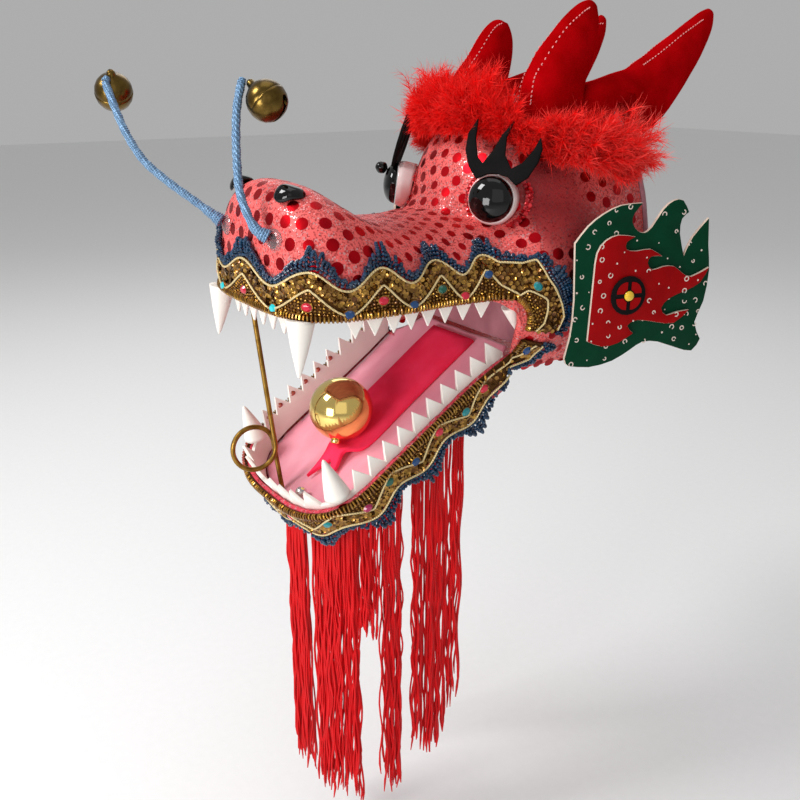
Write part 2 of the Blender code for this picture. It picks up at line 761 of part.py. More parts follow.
def build_teeth():
    """Build both foam tooth strips and the six single fangs."""
    step = 5.2
    upper_inset = SHELL_WALL + GAP
    rows = both_sides(resample(upper_outline(upper_inset, rear=-98.0), step=step))
    pitch = 2

    def upper_teeth(index):
        distance = abs(rows[index][2])
        near_fang = 33.0 < distance < 57.0
        return index % pitch == 1 and not near_fang and distance < 142.0

    verts, faces = tooth_strip(
        rows, lambda p, z: np.array([p[0], p[1], z]), -13.0, LIP_Z - 0.5, upper_teeth, -10.5, 2.2
    )
    inward = [(-np.array([n[0], n[1], 0.0]), (4 * i, 4 * i + 1, 4 * i + 2, 4 * i + 3))
              for i, (_, n, _) in enumerate(rows) for _ in range(4)]
    clear_of(verts, faces, solid_tree("head_shell"), inward)
    add_object("upper_teeth", verts, faces, "white_foam", 20.0)
    lower_inset = JAW_WALL + GAP
    low = both_sides(resample(lower_outline(lower_inset, rear=0.0), step=step))

    def lower_teeth(index):
        distance = low[index][2]
        near_fang = 40.0 < abs(distance) < 62.0
        at_rod = -21.0 < distance < 1.0
        return index % pitch == 1 and not near_fang and not at_rod

    def in_tray(plan, n):
        return jaw_point(plan[0], max(-plan[1], rear_limit(n) + 1.2), n)

    verts, faces = tooth_strip(low, in_tray, -11.0, 0.8, lower_teeth, 10.0, 2.2)
    inward = [(JAW_S * n[1] - np.array([n[0], 0.0, 0.0]), (4 * i, 4 * i + 1, 4 * i + 2, 4 * i + 3))
              for i, (_, n, _) in enumerate(low) for _ in range(4)]
    clear_of(verts, faces, solid_tree("lower_jaw"), inward)
    add_object("lower_teeth", verts, faces, "white_foam", 20.0)
    flip = np.array([-1.0, 1.0, 1.0])
    fangs = {
        "upper_fang": (np.array([43.5, -197.0, -25.2]), np.array([45.5, -200.0, -52.0]), 6.8),
        "corner_fang": (np.array([58.6, -86.2, -30.6]), np.array([58.4, -79.6, -46.0]), 4.6),
        "lower_fang": (jaw_point(46.0, 110.5, 3.0), jaw_point(45.0, 105.0, 24.0), 6.8),
    }
    for name, (base, tip, radius) in fangs.items():
        for side, sign in (("left", np.ones(3)), ("right", flip)):
            add_object(f"{name}_{side}", *cone(base * sign, tip * sign, radius), "white_foam")


def build_palate():
    """Build the palate, which turns down into the mouth's back wall."""
    inset = SHELL_WALL + GAP + 2.2 + 1.0
    front = resample(upper_outline(inset, rear=-100.0), count=11)
    verts = []
    across = 4
    rows = 0
    for p, _, _ in front[1:]:
        verts += [(p[0] * (2 * j / across - 1), p[1], LIP_Z + 2.2) for j in range(across + 1)]
        rows += 1
    wall = ((-90.0, -23.0, 55.0), (-80.5, -26.0, 53.0), (-75.0, -35.0, 53.0), (-72.8, -46.0, 52.0),
            (-71.6, -56.0, 47.0))
    for y, z, x in wall:
        verts += [(x * (2 * j / across - 1), y, z) for j in range(across + 1)]
        rows += 1
    faces = oriented(verts, grid_faces(rows, across + 1), lambda c: np.array([0.0, -120.0, -60.0]))
    faces = [tuple(reversed(f)) for f in faces]
    verts, faces = thicken(verts, faces, CLOTH_WALL)
    moves = sheet_moves(verts, lambda v: unit([-v[0], 0.25 * (-130.0 - v[1]), 0.0]))
    clear_of(verts, faces, solid_tree("head_shell", "upper_teeth"), moves)
    add_object("mouth_roof", verts, faces, "mauve_cloth")


def build_mouth():
    """Build the tray of the lower jaw and its lining."""
    verts = []
    for n in (0.0, -JAW_DEPTH):
        ring = both_sides(resample(lower_outline(0.0, rear=rear_limit(n)), count=18))
        verts += [jaw_point(p[0], -p[1], n) for p, _, _ in ring]
    count = len(ring)
    faces = grid_faces(2, count)
    half = count // 2
    for k in range(half):
        a, b = count + k, 2 * count - 1 - k
        if k < half - 1:
            faces.append((a, a + 1, b - 1, b))
        else:
            faces.append((a, a + 1, b))
    faces = oriented(verts, faces, lambda c: jaw_point(0.0, 60.0, -4.0))
    tray_skin = (verts, faces)
    add_object("lower_jaw", *thicken(verts, faces, JAW_WALL), "dot_cloth")

    lining_inset = JAW_WALL + GAP + 2.2 + GAP
    rows = resample(lower_outline(lining_inset, rear=5.0), count=10)
    verts = []
    across = 4
    stations = [(-p[1], p[0]) for p, _, _ in rows[1:]] + [(-4.0, 44.0), (-14.5, 38.0)]
    for s, width in stations:
        for j in range(across + 1):
            share = 2 * j / across - 1
            lift = 0.6 * abs(share) ** 3
            verts.append(jaw_point(width * share, s, -JAW_DEPTH + JAW_WALL + GAP + 1.5 + lift))
    faces = oriented(verts, grid_faces(len(stations), across + 1), lambda c: c - JAW_N)
    add_object("jaw_lining", *thicken(verts, faces, CLOTH_WALL), "pink_satin")
    return tray_skin


def rear_limit(n):
    """Return the s at which the tray ends in front of the cheeks, at height n."""
    return -(JAW_REAR_Y - JAW_ORIGIN[1] - JAW_N[1] * n) / math.cos(JAW_ANGLE)


FLOOR_N = -JAW_DEPTH + JAW_WALL + GAP + 1.5


def build_tongue():
    """Build the tongue: a flat strip whose front curls up and ends in two prongs."""
    # s, middle, half width, lift
    table = (
        (-9.0, -3.0, 18.5, 0.6),
        (10.0, -3.0, 18.5, 0.6),
        (32.0, -2.5, 18.0, 0.6),
        (54.0, -2.0, 18.0, 0.6),
        (76.0, 0.0, 16.5, 0.6),
        (83.0, 3.0, 10.0, 3.0),
        (88.0, 3.5, 7.0, 5.0),
        (94.0, 4.0, 7.5, 2.2),
    )
    verts, across = [], 4
    for s, middle, half, lift in table:
        for j in range(across + 1):
            share = 2 * j / across - 1
            verts.append(jaw_point(middle + half * share, s, FLOOR_N + lift + 2.0))
    faces = grid_faces(len(table), across + 1)
    start = (len(table) - 1) * (across + 1)
    tips = ((jaw_point(-1.5, 109.0, FLOOR_N + 3.4), 0), (jaw_point(14.5, 101.0, FLOOR_N + 3.4), 2))
    for tip, column in tips:
        verts.append(tip)
        last = len(verts) - 1
        faces.append((start + column, start + column + 1, last))
        faces.append((start + column + 1, start + column + 2, last))
    faces = oriented(verts, faces, lambda c: c - JAW_N)
    add_object("tongue", *thicken(verts, faces, 2.0), "crimson")


# Turned and tube pieces


def frame_on(axis):
    """Return two unit vectors across an axis."""
    axis = unit(axis)
    helper = np.array([0.0, 0.0, 1.0]) if abs(axis[2]) < 0.9 else np.array([1.0, 0.0, 0.0])
    first = unit(np.cross(axis, helper))
    return first, np.cross(axis, first)


def revolve(profile, center, axis, sides, squash=1.0, first=None):
    """Turn a profile of (radius, height) round an axis; ends on the axis are single points."""
    axis = unit(axis)
    if first is None:
        first, second = frame_on(axis)
    else:
        first = unit(first)
        second = np.cross(axis, first)
    verts, rings, faces = [], [], []
    for radius, height in profile:
        middle = np.asarray(center, float) + axis * height
        if radius < 1e-6:
            rings.append([len(verts)])
            verts.append(middle)
            continue
        ring = []
        for j in range(sides):
            angle = 2 * math.pi * j / sides
            ring.append(len(verts))
            verts.append(
                middle + first * radius * math.cos(angle) + second * radius * squash * math.sin(angle)
            )
        rings.append(ring)
    for a, b in zip(rings, rings[1:]):
        for j in range(sides):
            k = (j + 1) % sides
            if len(a) == 1:
                faces.append((a[0], b[k], b[j]))
            elif len(b) == 1:
                faces.append((a[j], a[k], b[0]))
            else:
                faces.append((a[j], a[k], b[k], b[j]))
    if len(rings[0]) > 1:
        faces.append(tuple(reversed(rings[0])))
    if len(rings[-1]) > 1:
        faces.append(tuple(rings[-1]))
    return verts, faces, rings


def drape(verts, tree, base, axis, lift):
    """Move a small trim's points along its axis so that its underside follows the skin."""
    axis = unit(axis)
    for k, v in enumerate(verts):
        height = (v - base) @ axis
        found = hit_from(tree, v - axis * height, -axis, reach=25.0)
        verts[k] = found + axis * (height + lift)


def tube(points, radii, sides):
    """Loft a round tube along points, with flat ends."""
    points = [np.asarray(p, float) for p in points]
    verts, faces = [], []
    across = None
    for k, p in enumerate(points):
        tangent = unit(points[min(k + 1, len(points) - 1)] - points[max(k - 1, 0)])
        if across is None:
            across, _ = frame_on(tangent)
        across = unit(across - tangent * (across @ tangent))
        other = np.cross(tangent, across)
        for j in range(sides):
            angle = 2 * math.pi * j / sides
            verts.append(p + (across * math.cos(angle) + other * math.sin(angle)) * radii[k])
    faces = grid_faces(len(points), sides, closed=True)
    faces.append(tuple(reversed(range(sides))))
    faces.append(tuple((len(points) - 1) * sides + j for j in range(sides)))
    return verts, faces


def smooth_route(points, count):
    """Return evenly numbered points on a smooth curve through a route's own points."""
    points = [np.asarray(p, float) for p in points]
    result = []
    for k in range(count):
        t = k / (count - 1) * (len(points) - 1)
        i = min(int(t), len(points) - 2)
        f = t - i
        p0, p1 = points[max(i - 1, 0)], points[i]
        p2, p3 = points[i + 1], points[min(i + 2, len(points) - 1)]
        result.append(
            0.5 * (2 * p1 + (p2 - p0) * f + (2 * p0 - 5 * p1 + 4 * p2 - p3) * f**2
                   + (3 * p1 - p0 - 3 * p2 + p3) * f**3)
        )
    return result


def seat_ring(verts, ring, tree, axis, lift, reach=25.0):
    """Drop a ring of points along an axis onto the skin, and leave a small gap."""
    for k in ring:
        found = hit_from(tree, verts[k], -unit(axis), reach=reach)
        if found is not None:
            verts[k] = found + unit(axis) * lift


def build_eyes(tree):
    """Build the eye whites, the black domes and the right dome's bead, and return the eyes' centers."""
    centers = {}
    splay = math.radians(35.0)
    white_profile = [(0.0, 0.0), (6.5, 0.0), (12.0, 0.0), (12.8, 4.5), (12.5, 6.6), (11.9, 8.2), (0.0, 8.2)]
    dome = [(0.0, 8.6)] + [
        (11.4 * math.cos(a), 8.6 + 0.8 + 6.6 * math.sin(a))
        for a in (0.0, 0.35, 0.7, 1.05, 1.35, 0.5 * math.pi)
    ]
    dome.insert(1, (11.4, 8.6))
    for side, sign in (("left", 1.0), ("right", -1.0)):
        axis = unit([math.sin(splay) * sign, -math.cos(splay), 0.12])
        for step in range(20):
            center = np.array([37.5 * sign, -80.5, 19.5]) + axis * 0.2 * step
            verts, faces, rings = revolve(white_profile, center, axis, 16)
            seat_ring(verts, rings[0] + rings[1] + rings[2], tree, axis, 0.9, reach=9.0)
            if not tree_of(verts, faces).overlap(solid_tree("head_shell")):
                break
        centers[side] = center
        add_object(f"eye_white_{side}", verts, faces, "eye_white")
        verts, faces, _ = revolve(dome, center, axis, 16)
        add_object(f"eye_dome_{side}", verts, faces, "black_gloss")
        if side == "right":
            spot = center + axis * 14.0 + np.array([-1.0, 0.0, 6.0])
            bead = unit(axis + np.array([0.0, 0.0, 0.7]))
            profile = [(0.0, 0.0), (2.0, 0.3), (3.3, 2.0), (3.5, 3.6), (2.5, 5.8), (0.0, 6.8)]
            verts, faces, _ = revolve(profile, spot, bead, 12)
            add_object("eye_bead_right", verts, faces, "black_gloss")
    return centers


def build_nostrils(tree):
    """Build the glossy oval nostrils on the nose."""
    profile = [(0.0, 0.0), (7.2, 0.0), (7.4, 1.0), (6.2, 2.6), (3.6, 3.6), (0.0, 4.0)]
    for side, sign in (("left", 1.0), ("right", -1.0)):
        place = np.array([25.0 * sign, -190.2, 27.0])
        axis = unit([0.42 * sign, -0.35, 0.84])
        verts, faces, _ = revolve(profile, place, axis, 12, squash=0.72, first=[0.35 * sign, 1, 0])
        drape(verts, tree, place, axis, 0.4)
        clear_of(verts, faces, solid_tree("head_shell"), [(axis, range(len(verts)))] * len(verts))
        add_object(f"nostril_{side}", verts, faces, "black_gloss")


def build_antennae(tree):
    """Build the two thread-wrapped antennae and their bells."""
    routes = {
        "left": ((26.0, -202.5, 10.5), (23.0, -206.5, 13.5), (18.0, -208.0, 19.0), (12.5, -209.0, 29.5),
                 (8.2, -207.6, 42.0), (4.2, -205.4, 54.4), (1.1, -202.8, 65.4), (-0.8, -199.3, 75.1)),
        "right": ((-26.0, -202.5, 11.0), (-29.5, -206.0, 14.5), (-36.0, -212.5, 21.0),
                  (-44.0, -221.5, 29.5), (-52.5, -229.8, 39.5), (-59.5, -234.4, 51.0),
                  (-65.5, -237.0, 63.0), (-72.5, -238.6, 75.6)),
    }
    hangs = {
        "left": (np.array([8.1, -191.4, 68.2]), np.array([-1.4, -197.5, 78.6])),
        "right": (np.array([-81.0, -232.2, 71.2]), np.array([-74.4, -234.8, 80.6])),
    }
    for side, route in routes.items():
        points = smooth_route(route, 18)
        radii = [3.6, 2.8, 2.2] + [1.9] * 15
        verts, faces = tube(points, radii, 7)
        outward = unit([0.1 if side == "left" else -0.1, -1.0, 0.15])
        seat_ring(verts, range(7), tree, outward, 0.5)
        add_object(f"antenna_{side}", verts, faces, "blue_thread")
        center, neck = hangs[side]
        build_bell(f"bell_{side}", center, neck - center)


def build_bell(name, center, axis):
    """Build a hollow pear-shaped bell with a slot in its underside and a solid neck."""
    outer = [(0.0, -9.6), (4.0, -8.9), (7.6, -6.2), (9.4, -1.6), (9.0, 2.6), (6.6, 6.4), (3.6, 8.6),
             (2.2, 9.8), (1.9, 11.6), (0.0, 12.4)]
    inner = [(0.0, -8.6), (3.6, -7.9), (6.7, -5.4), (8.4, -1.4), (8.0, 2.2), (5.8, 5.6), (0.0, 7.6)]
    verts, faces, _ = revolve(outer, center, axis, 12)
    inside, inside_faces, _ = revolve(inner, center, axis, 12)
    count = len(verts)
    verts += inside
    faces += [tuple(count + k for k in reversed(f)) for f in inside_faces]
    bell = add_closed(name, verts, faces, "brass")
    first, second = frame_on(axis)
    slot = []
    for w in (-1.0, 1.0):
        for t in (-7.4, 7.4):
            for h in (-12.0, -4.2):
                slot.append(np.asarray(center) + first * 1.1 * w + second * t + unit(axis) * h)
    box = [(0, 1, 3, 2), (4, 6, 7, 5), (0, 4, 5, 1), (2, 3, 7, 6), (0, 2, 6, 4), (1, 5, 7, 3)]
    cutter = add_object(f"{name}_slot_cutter", slot, box, "brass")
    cutter.hide_render = True
    cutter.display_type = "WIRE"
    cut = bell.modifiers.new("slot", "BOOLEAN")
    cut.operation = "DIFFERENCE"
    cut.solver = "EXACT"
    cut.object = cutter


def add_closed(name, verts, faces, finish):
    """Make an object whose faces are already turned the right way."""
    mesh = bpy.data.meshes.new(name)
    mesh.from_pydata([tuple(float(c) * MM for c in v) for v in verts], [], faces)
    made = bmesh.new()
    made.from_mesh(mesh)
    if made.calc_volume(signed=True) < 0:
        bmesh.ops.reverse_faces(made, faces=made.faces)
    made.to_mesh(mesh)
    made.free()
    mesh.shade_smooth()
    mesh.set_sharp_from_angle(angle=math.radians(35.0))
    color, roughness, metallic = FINISHES[finish]
    mesh.materials.append(material(finish, color, roughness, metallic))
    made = bpy.data.objects.new(name, mesh)
    bpy.context.scene.collection.objects.link(made)
    return made


def build_props():
    """Build the gold pearl, the small bead on its wire and the rod that props the mouth."""
    radius = 17.2
    tongue_top = FLOOR_N + 2.6
    center = jaw_point(0.5, 72.0, tongue_top + GAP + radius)
    profile = [(radius * math.sin(math.pi * k / 9), -radius * math.cos(math.pi * k / 9))
               for k in range(10)]
    profile[0], profile[-1] = (0.0, -radius), (0.0, radius)
    cap = unit(JAW_S * 0.75 - JAW_N * 0.5 + np.array([0.25, 0.0, 0.0]))
    profile = profile[:-1] + [(2.6, radius - 0.1), (2.4, radius + 1.8), (0.0, radius + 2.2)]
    add_object("pearl", *revolve(profile, center, cap, 16)[:2], "gold")
    bead = jaw_point(8.0, 118.4, FLOOR_N + 4.2)
    ball = [(3.4 * math.sin(math.pi * k / 6), -3.4 * math.cos(math.pi * k / 6)) for k in range(7)]
    ball[0], ball[-1] = (0.0, -3.4), (0.0, 3.4)
    add_object("silver_bead", *revolve(ball, bead, JAW_N, 12)[:2], "silver")
    wire = [bead + JAW_S * 3.7 + np.array([-1.2, 0.0, -0.8]), bead + JAW_S * 4.6 + [-5.0, 0, -1.6],
            bead + JAW_S * 3.6 + [-9.0, 0, -1.9]]
    add_object("bead_wire", *tube(smooth_route(wire, 6), [0.8] * 6, 6), "copper")


def build_rod():
    """Build the brass rod with its round eye, from the palate down to the tray's lining."""
    top = np.array([-23.0, -191.0, LIP_Z + 1.7])
    foot = jaw_point(-12.0, 122.0, FLOOR_N + 1.2)
    way = unit(foot - top)
    length = np.linalg.norm(foot - top)
    eye_at = top + way * length * 0.765
    forward = unit(np.array([-0.12, -0.99, 0.0]) - way * (way @ np.array([-0.12, -0.99, 0.0])))
    side = np.cross(way, forward)
    eye_radius = 11.6
    center = eye_at + forward * (eye_radius + 0.2)
    points = [top + way * length * share for share in (0.0, 0.2, 0.4, 0.6)]
    turns = 16
    for k in range(turns + 1):
        angle = 2 * math.pi * k / turns
        spot = center - forward * eye_radius * math.cos(angle) + way * eye_radius * math.sin(angle)
        points.append(spot + side * 3.2 * (k / turns - 0.5))
    points += [eye_at + way * 8.0 + side * 1.6, foot]
    add_object("prop_rod", *tube(points, [1.35] * len(points), 6), "brass")


# Soft trims


ANTLER_SIDES = 10


# Antler sections: y, z, half length, half thickness, tilt
FRONT_PRONG = (
    (-46.0, 60.0, 20.0, 12.5, 0.0), (-44.5, 70.0, 19.5, 12.0, 4.0), (-41.0, 80.0, 18.0, 11.0, 10.0),
    (-33.5, 92.0, 15.0, 9.5, 20.0), (-26.5, 102.0, 11.0, 7.5, 30.0), (-22.5, 108.5, 7.4, 5.4, 38.0),
    (-20.0, 112.8, 3.2, 2.8, 40.0),
)
REAR_PRONG = (
    (-20.0, 60.0, 15.5, 12.5, 0.0), (-14.0, 68.5, 13.0, 12.5, 22.0), (3.0, 72.0, 8.5, 12.5, 62.0),
    (13.0, 64.5, 18.0, 12.5, 77.0), (28.5, 71.5, 17.8, 11.5, 62.0), (43.5, 83.7, 14.5, 10.0, 50.0),
    (61.0, 99.0, 9.8, 7.5, 52.0), (69.0, 107.3, 5.8, 4.8, 50.0), (72.4, 111.6, 2.8, 2.6, 50.0),
)
FAR_FRONT_PRONG = (
    (-40.0, 60.0, 19.0, 11.5, 0.0), (-36.0, 70.0, 18.5, 11.5, 2.0), (-31.5, 79.0, 17.5, 10.5, 5.0),
    (-26.5, 88.0, 14.5, 9.5, 10.0), (-22.5, 97.0, 11.5, 8.0, 15.0), (-20.5, 103.0, 8.5, 6.4, 18.0),
    (-19.5, 107.0, 4.4, 3.6, 18.0),
)
FAR_REAR_REACH = 0.86  # the far rear prong stands a little more upright


def build_antlers(tree):
    """Build both antlers: two tapered, stuffed prongs joined at a broad base."""
    far_rear = [(y * FAR_REAR_REACH if y > 0.0 else y, *rest) for y, *rest in REAR_PRONG]
    for side, sign, tables in (
        ("left", 1.0, (FRONT_PRONG, REAR_PRONG)), ("right", -1.0, (FAR_FRONT_PRONG, far_rear)),
    ):
        parts = []
        for index, table in enumerate(tables):
            verts, faces = prong(tree, table, sign)
            name = f"antler_{side}" if index == 0 else f"antler_{side}_rear_prong"
            parts.append(add_object(name, verts, faces, "red_felt"))
        parts[1].hide_render = True
        parts[1].display_type = "WIRE"
        join = parts[0].modifiers.new("join", "BOOLEAN")
        join.operation = "UNION"
        join.solver = "EXACT"
        join.object = parts[1]


def prong(tree, table, sign):
    """Loft one prong through its sections; its base rings follow the skin."""
    sides = ANTLER_SIDES
    up = np.array([0.0, 0.0, 1.0])
    y0, z0, length0, thick0, tilt0 = table[0]
    base = [(y0, z0, 0.5 * length0, 0.5 * thick0, tilt0)]
    verts = []
    for y, z, half_length, half_thick, tilt in base + list(table):
        lean = math.radians(tilt)
        across = np.array([0.0, math.cos(lean), -math.sin(lean)])
        center = np.array([36.0 * sign, y, z])
        for j in range(sides):
            angle = 2 * math.pi * j / sides
            verts.append(
                center
                - across * half_length * math.cos(angle)
                + np.array([half_thick * math.sin(angle), 0.0, 0.0])
            )
    seat_ring(verts, range(2 * sides), tree, up, 0.9)
    for k in range(2 * sides, len(verts)):
        if -8.0 < verts[k][1] < 4.0:
            skin = hit_from(tree, np.array([verts[k][0], -7.0, 60.0]), -up, reach=60.0)
            verts[k][2] = max(verts[k][2], skin[2] + 3.2)
    faces = grid_faces(len(table) + 1, sides, closed=True)
    verts.append(sum(verts[k] for k in range(sides)) / sides)
    seat_ring(verts, [len(verts) - 1], tree, up, 0.9)
    faces += [(j, (j + 1) % sides, len(verts) - 1) for j in range(sides)]
    faces.append(tuple(len(table) * sides + j for j in range(sides)))
    moves = [(up, (k,)) for k in range(len(verts))]
    clear_of(verts, faces, solid_tree("head_shell", "back_binding"), moves)
    return verts, faces


def build_lashes(centers):
    """Build the black foam lashes, plates with three flame prongs that lean back on the brow."""
    outline = (
        (-7.6, -1.2), (-12.5, 5.0), (-15.2, 13.0), (-15.0, 21.0), (-11.0, 28.6), (-10.8, 18.5),
        (-8.6, 10.0), (-5.3, 6.6), (-1.0, 13.1), (2.4, 20.7), (7.4, 27.4), (4.8, 19.5), (5.4, 11.0),
        (9.4, 4.4), (14.5, 7.2), (18.9, 13.2), (21.8, 20.0), (23.4, 14.5), (22.3, 8.0), (18.3, 0.2),
        (12.9, -3.6), (8.0, 0.3), (3.0, 1.7), (-2.0, 1.5), (-5.0, 0.0),
    )
    near_splay, far_splay = math.radians(35.0), math.radians(42.0)
    lean = math.radians(18.0)
    thick = 2.0
    for side, sign, splay in (("left", 1.0, near_splay), ("right", -1.0, far_splay)):
        axis = np.array([math.sin(splay) * sign, -math.cos(splay), 0.0])
        along = np.array([math.cos(splay) * sign, math.sin(splay), 0.0])
        up = np.array([0.0, 0.0, 1.0]) * math.cos(lean) - axis * math.sin(lean)
        out = axis * math.cos(lean) + np.array([0.0, 0.0, 1.0]) * math.sin(lean)
        place = centers[side] + axis * 8.4 + np.array([0.0, 0.0, 11.6])
        verts = []
        for level in (0.0, thick):
            verts += [place + along * (h + 0.04 * v) + up * v + out * level for h, v in outline]
        add_plate(f"lash_{side}", verts, len(outline), "black_foam")


def add_plate(name, verts, count, finish):
    """Make a flat plate from its lower outline followed by its upper outline."""
    faces = [tuple(range(count)), tuple(range(2 * count - 1, count - 1, -1))]
    faces += [(k, (k + 1) % count, count + (k + 1) % count, count + k) for k in range(count)]
    return add_object(name, verts, faces, finish, 20.0)


# Runs of smooth edge between the sharp tips and hooks, as s and z
EAR_GREEN = (
    ((11.6, 1.7), (18.1, 9.7), (25.8, 15.3), (35.1, 19.2), (46.9, 20.0)),
    ((46.9, 20.0), (42.6, 14.9), (42.0, 10.6), (44.9, 6.6), (49.1, 5.3), (53.1, 8.2), (58.5, 16.4),
     (63.8, 20.5), (69.2, 20.4), (73.2, 14.4)),
    ((73.2, 14.4), (69.6, 11.3), (69.2, 3.9), (72.7, -7.4)),
    ((72.7, -7.4), (76.7, 1.8), (85.0, 11.2)),
    ((85.0, 11.2), (86.4, -2.6), (88.6, -15.9), (87.3, -31.9), (83.4, -42.9), (87.9, -52.4)),
    ((87.9, -52.4), (83.4, -58.6), (73.6, -56.0), (62.6, -52.0), (53.5, -51.4), (46.5, -55.2),
     (36.7, -60.3), (23.8, -62.6), (12.2, -61.0)),
    ((12.2, -61.0), (9.6, -57.0), (12.2, -45.3), (13.1, -26.9), (11.6, 1.7)),
)
EAR_RED = (
    ((20.9, -48.1), (21.8, -29.6), (22.0, -14.2), (22.8, -3.4), (27.0, 2.6), (33.8, 5.2), (43.2, 3.9)),
    ((43.2, 3.9), (38.6, 1.5), (38.8, -2.2), (44.5, -3.2), (52.2, -2.6), (59.3, -6.7)),
    ((59.3, -6.7), (53.0, -6.4), (51.2, -9.6), (54.2, -13.2), (60.2, -11.8), (66.3, -12.0),
     (71.1, -15.4), (77.0, -18.0), (87.0, -13.6)),
    ((87.0, -13.6), (82.6, -21.4), (74.6, -25.2), (65.8, -28.4), (61.4, -33.4), (64.9, -37.4),
     (70.7, -36.0), (77.9, -35.3)),
    ((77.9, -35.3), (69.6, -42.0), (58.6, -40.5), (48.1, -38.8), (42.8, -41.4), (46.5, -45.6)),
    ((46.5, -45.6), (38.0, -50.3), (29.0, -51.4), (20.9, -48.1)),
)
EAR_ANGLE = math.radians(18.0)
EAR_ROOT = np.array([74.6, -75.0, 0.0])


def ear_point(s, z, n, sign):
    """Return the point of an ear at s along it, height z and distance n out of its plane."""
    along = np.array([math.sin(EAR_ANGLE), math.cos(EAR_ANGLE), 0.0])
    out = np.array([math.cos(EAR_ANGLE), -math.sin(EAR_ANGLE), 0.0])
    point = EAR_ROOT + along * s + out * n + np.array([0.0, 0.0, z])
    return point * np.array([sign, 1.0, 1.0])


def smooth_runs(runs):
    """Return a closed outline that passes smoothly along each run and turns sharply between them."""
    outline = []
    for run in runs:
        spots = [np.array(p) for p in (run[0], *run, run[-1])]
        for before, start, end, after in zip(spots, spots[1:], spots[2:], spots[3:]):
            middle = (9.0 * (start + end) - before - after) / 16.0
            outline += [start, middle]
    return outline


def build_ears(tree):
    """Build both layered ears with their disc, button and hidden foam spacer."""
    for side, sign in (("left", 1.0), ("right", -1.0)):
        layers = (
            ("ear_back", EAR_GREEN, 0.0, 2.0, "green_foam"),
            ("ear_front", EAR_RED, 2.3, 4.1, "red_foam"),
        )
        for name, runs, low, high, finish in layers:
            outline = smooth_runs(runs)
            verts = [ear_point(s, z, n, sign) for n in (low, high) for s, z in outline]
            add_plate(f"{name}_{side}", verts, len(outline), finish)
        disc = [(41.2 + 9.6 * math.cos(a), -25.4 + 10.0 * math.sin(a))
                for a in np.linspace(0, 2 * math.pi, 20, endpoint=False)]
        add_plate(f"ear_disc_{side}", [ear_point(s, z, n, sign) for n in (4.4, 5.4) for s, z in disc],
                  20, "black_foam")
        out = ear_point(0.0, 0.0, 1.0, sign) - ear_point(0.0, 0.0, 0.0, sign)
        button = [(0.0, 0.0), (2.6, 0.0), (2.4, 0.8), (1.4, 1.4), (0.0, 1.6)]
        verts, faces, _ = revolve(button, ear_point(41.2, -25.4, 5.7, sign), out, 12)
        add_object(f"ear_button_{side}", verts, faces, "yellow")
        start = ear_point(27.0, -24.0, -GAP, sign)
        spacer = [(0.0, 0.0), (7.0, 0.0), (7.0, -3.0), (0.0, -3.0)]
        verts, faces, rings = revolve(spacer, start, out, 12)
        for k in rings[2] + rings[3]:
            found = hit_from(tree, verts[k], np.array([-sign, 0.0, 0.0]), reach=25.0)
            verts[k] = found + np.array([0.9 * sign, 0.0, 0.0])
        add_object(f"ear_spacer_{side}", verts, faces, "black_foam")


BOA_RADIUS = 19.0


def build_boa(skin, trees):
    """Build the marabou trim: one tube of pointed locks that fills the room round the antlers."""
    count, sides = 40, 10
    route = []
    for k in range(81):
        turn = math.pi * (k / 80 - 0.5)
        p = (60.5 * math.sin(turn), -8.0 - 76.0 * math.cos(turn) ** 0.6, 34.0 + 28.0 * math.cos(turn))
        near = skin.find_nearest(Vector(p))
        route.append(np.array(near[0]) + unit(np.array(near[1])) * 7.0)
    for _ in range(12):
        route[1:-1] = [0.25 * a + 0.5 * b + 0.25 * c for a, b, c in zip(route, route[1:], route[2:])]
    lengths = np.concatenate([[0.0], np.cumsum(np.linalg.norm(np.diff(route, axis=0), axis=1))])
    stops = np.linspace(0.0, lengths[-1], count)
    points = [np.array([np.interp(d, lengths, [p[i] for p in route]) for i in range(3)]) for d in stops]
    normals = [np.array(skin.find_nearest(Vector(p))[1]) for p in points]
    normals[0], normals[-1] = normals[1], normals[-2]
    for _ in range(6):
        normals[1:-1] = [unit(a + 2 * b + c) for a, b, c in zip(normals, normals[1:], normals[2:])]
    ways, sizes = [], []
    for k in range(count):
        tangent = unit(points[min(k + 1, count - 1)] - points[max(k - 1, 0)])
        up = unit(normals[k] - tangent * (normals[k] @ tangent))
        other = np.cross(tangent, up)
        for j in range(sides):
            angle = 2 * math.pi * j / sides
            ways.append(up * math.cos(angle) + other * math.sin(angle))
            lock = 1.0 if (j + k) % 2 == 0 else 0.78
            size = BOA_RADIUS * lock * (0.94 + 0.06 * math.sin(2.4 * k + 1.7 * j))
            sizes.append(size * (0.5 if k in (0, count - 1) else 1.0))
    faces = grid_faces(count, sides, closed=True)
    faces.append(tuple(range(sides)))
    faces.append(tuple((count - 1) * sides + j for j in range(sides)))
    owners = split_faces(faces)[1]
    for _ in range(60):
        verts = [points[k // sides] + ways[k] * sizes[k] for k in range(count * sides)]
        own = tree_of(verts, faces)
        cutting = {owners[a] for tree in trees for a, _ in own.overlap(tree)}
        for k in {k for f in cutting for k in faces[f]}:
            sizes[k] = max(sizes[k] - 0.5, 1.5)
    add_object("feather_boa", verts, faces, "feather", 60.0)


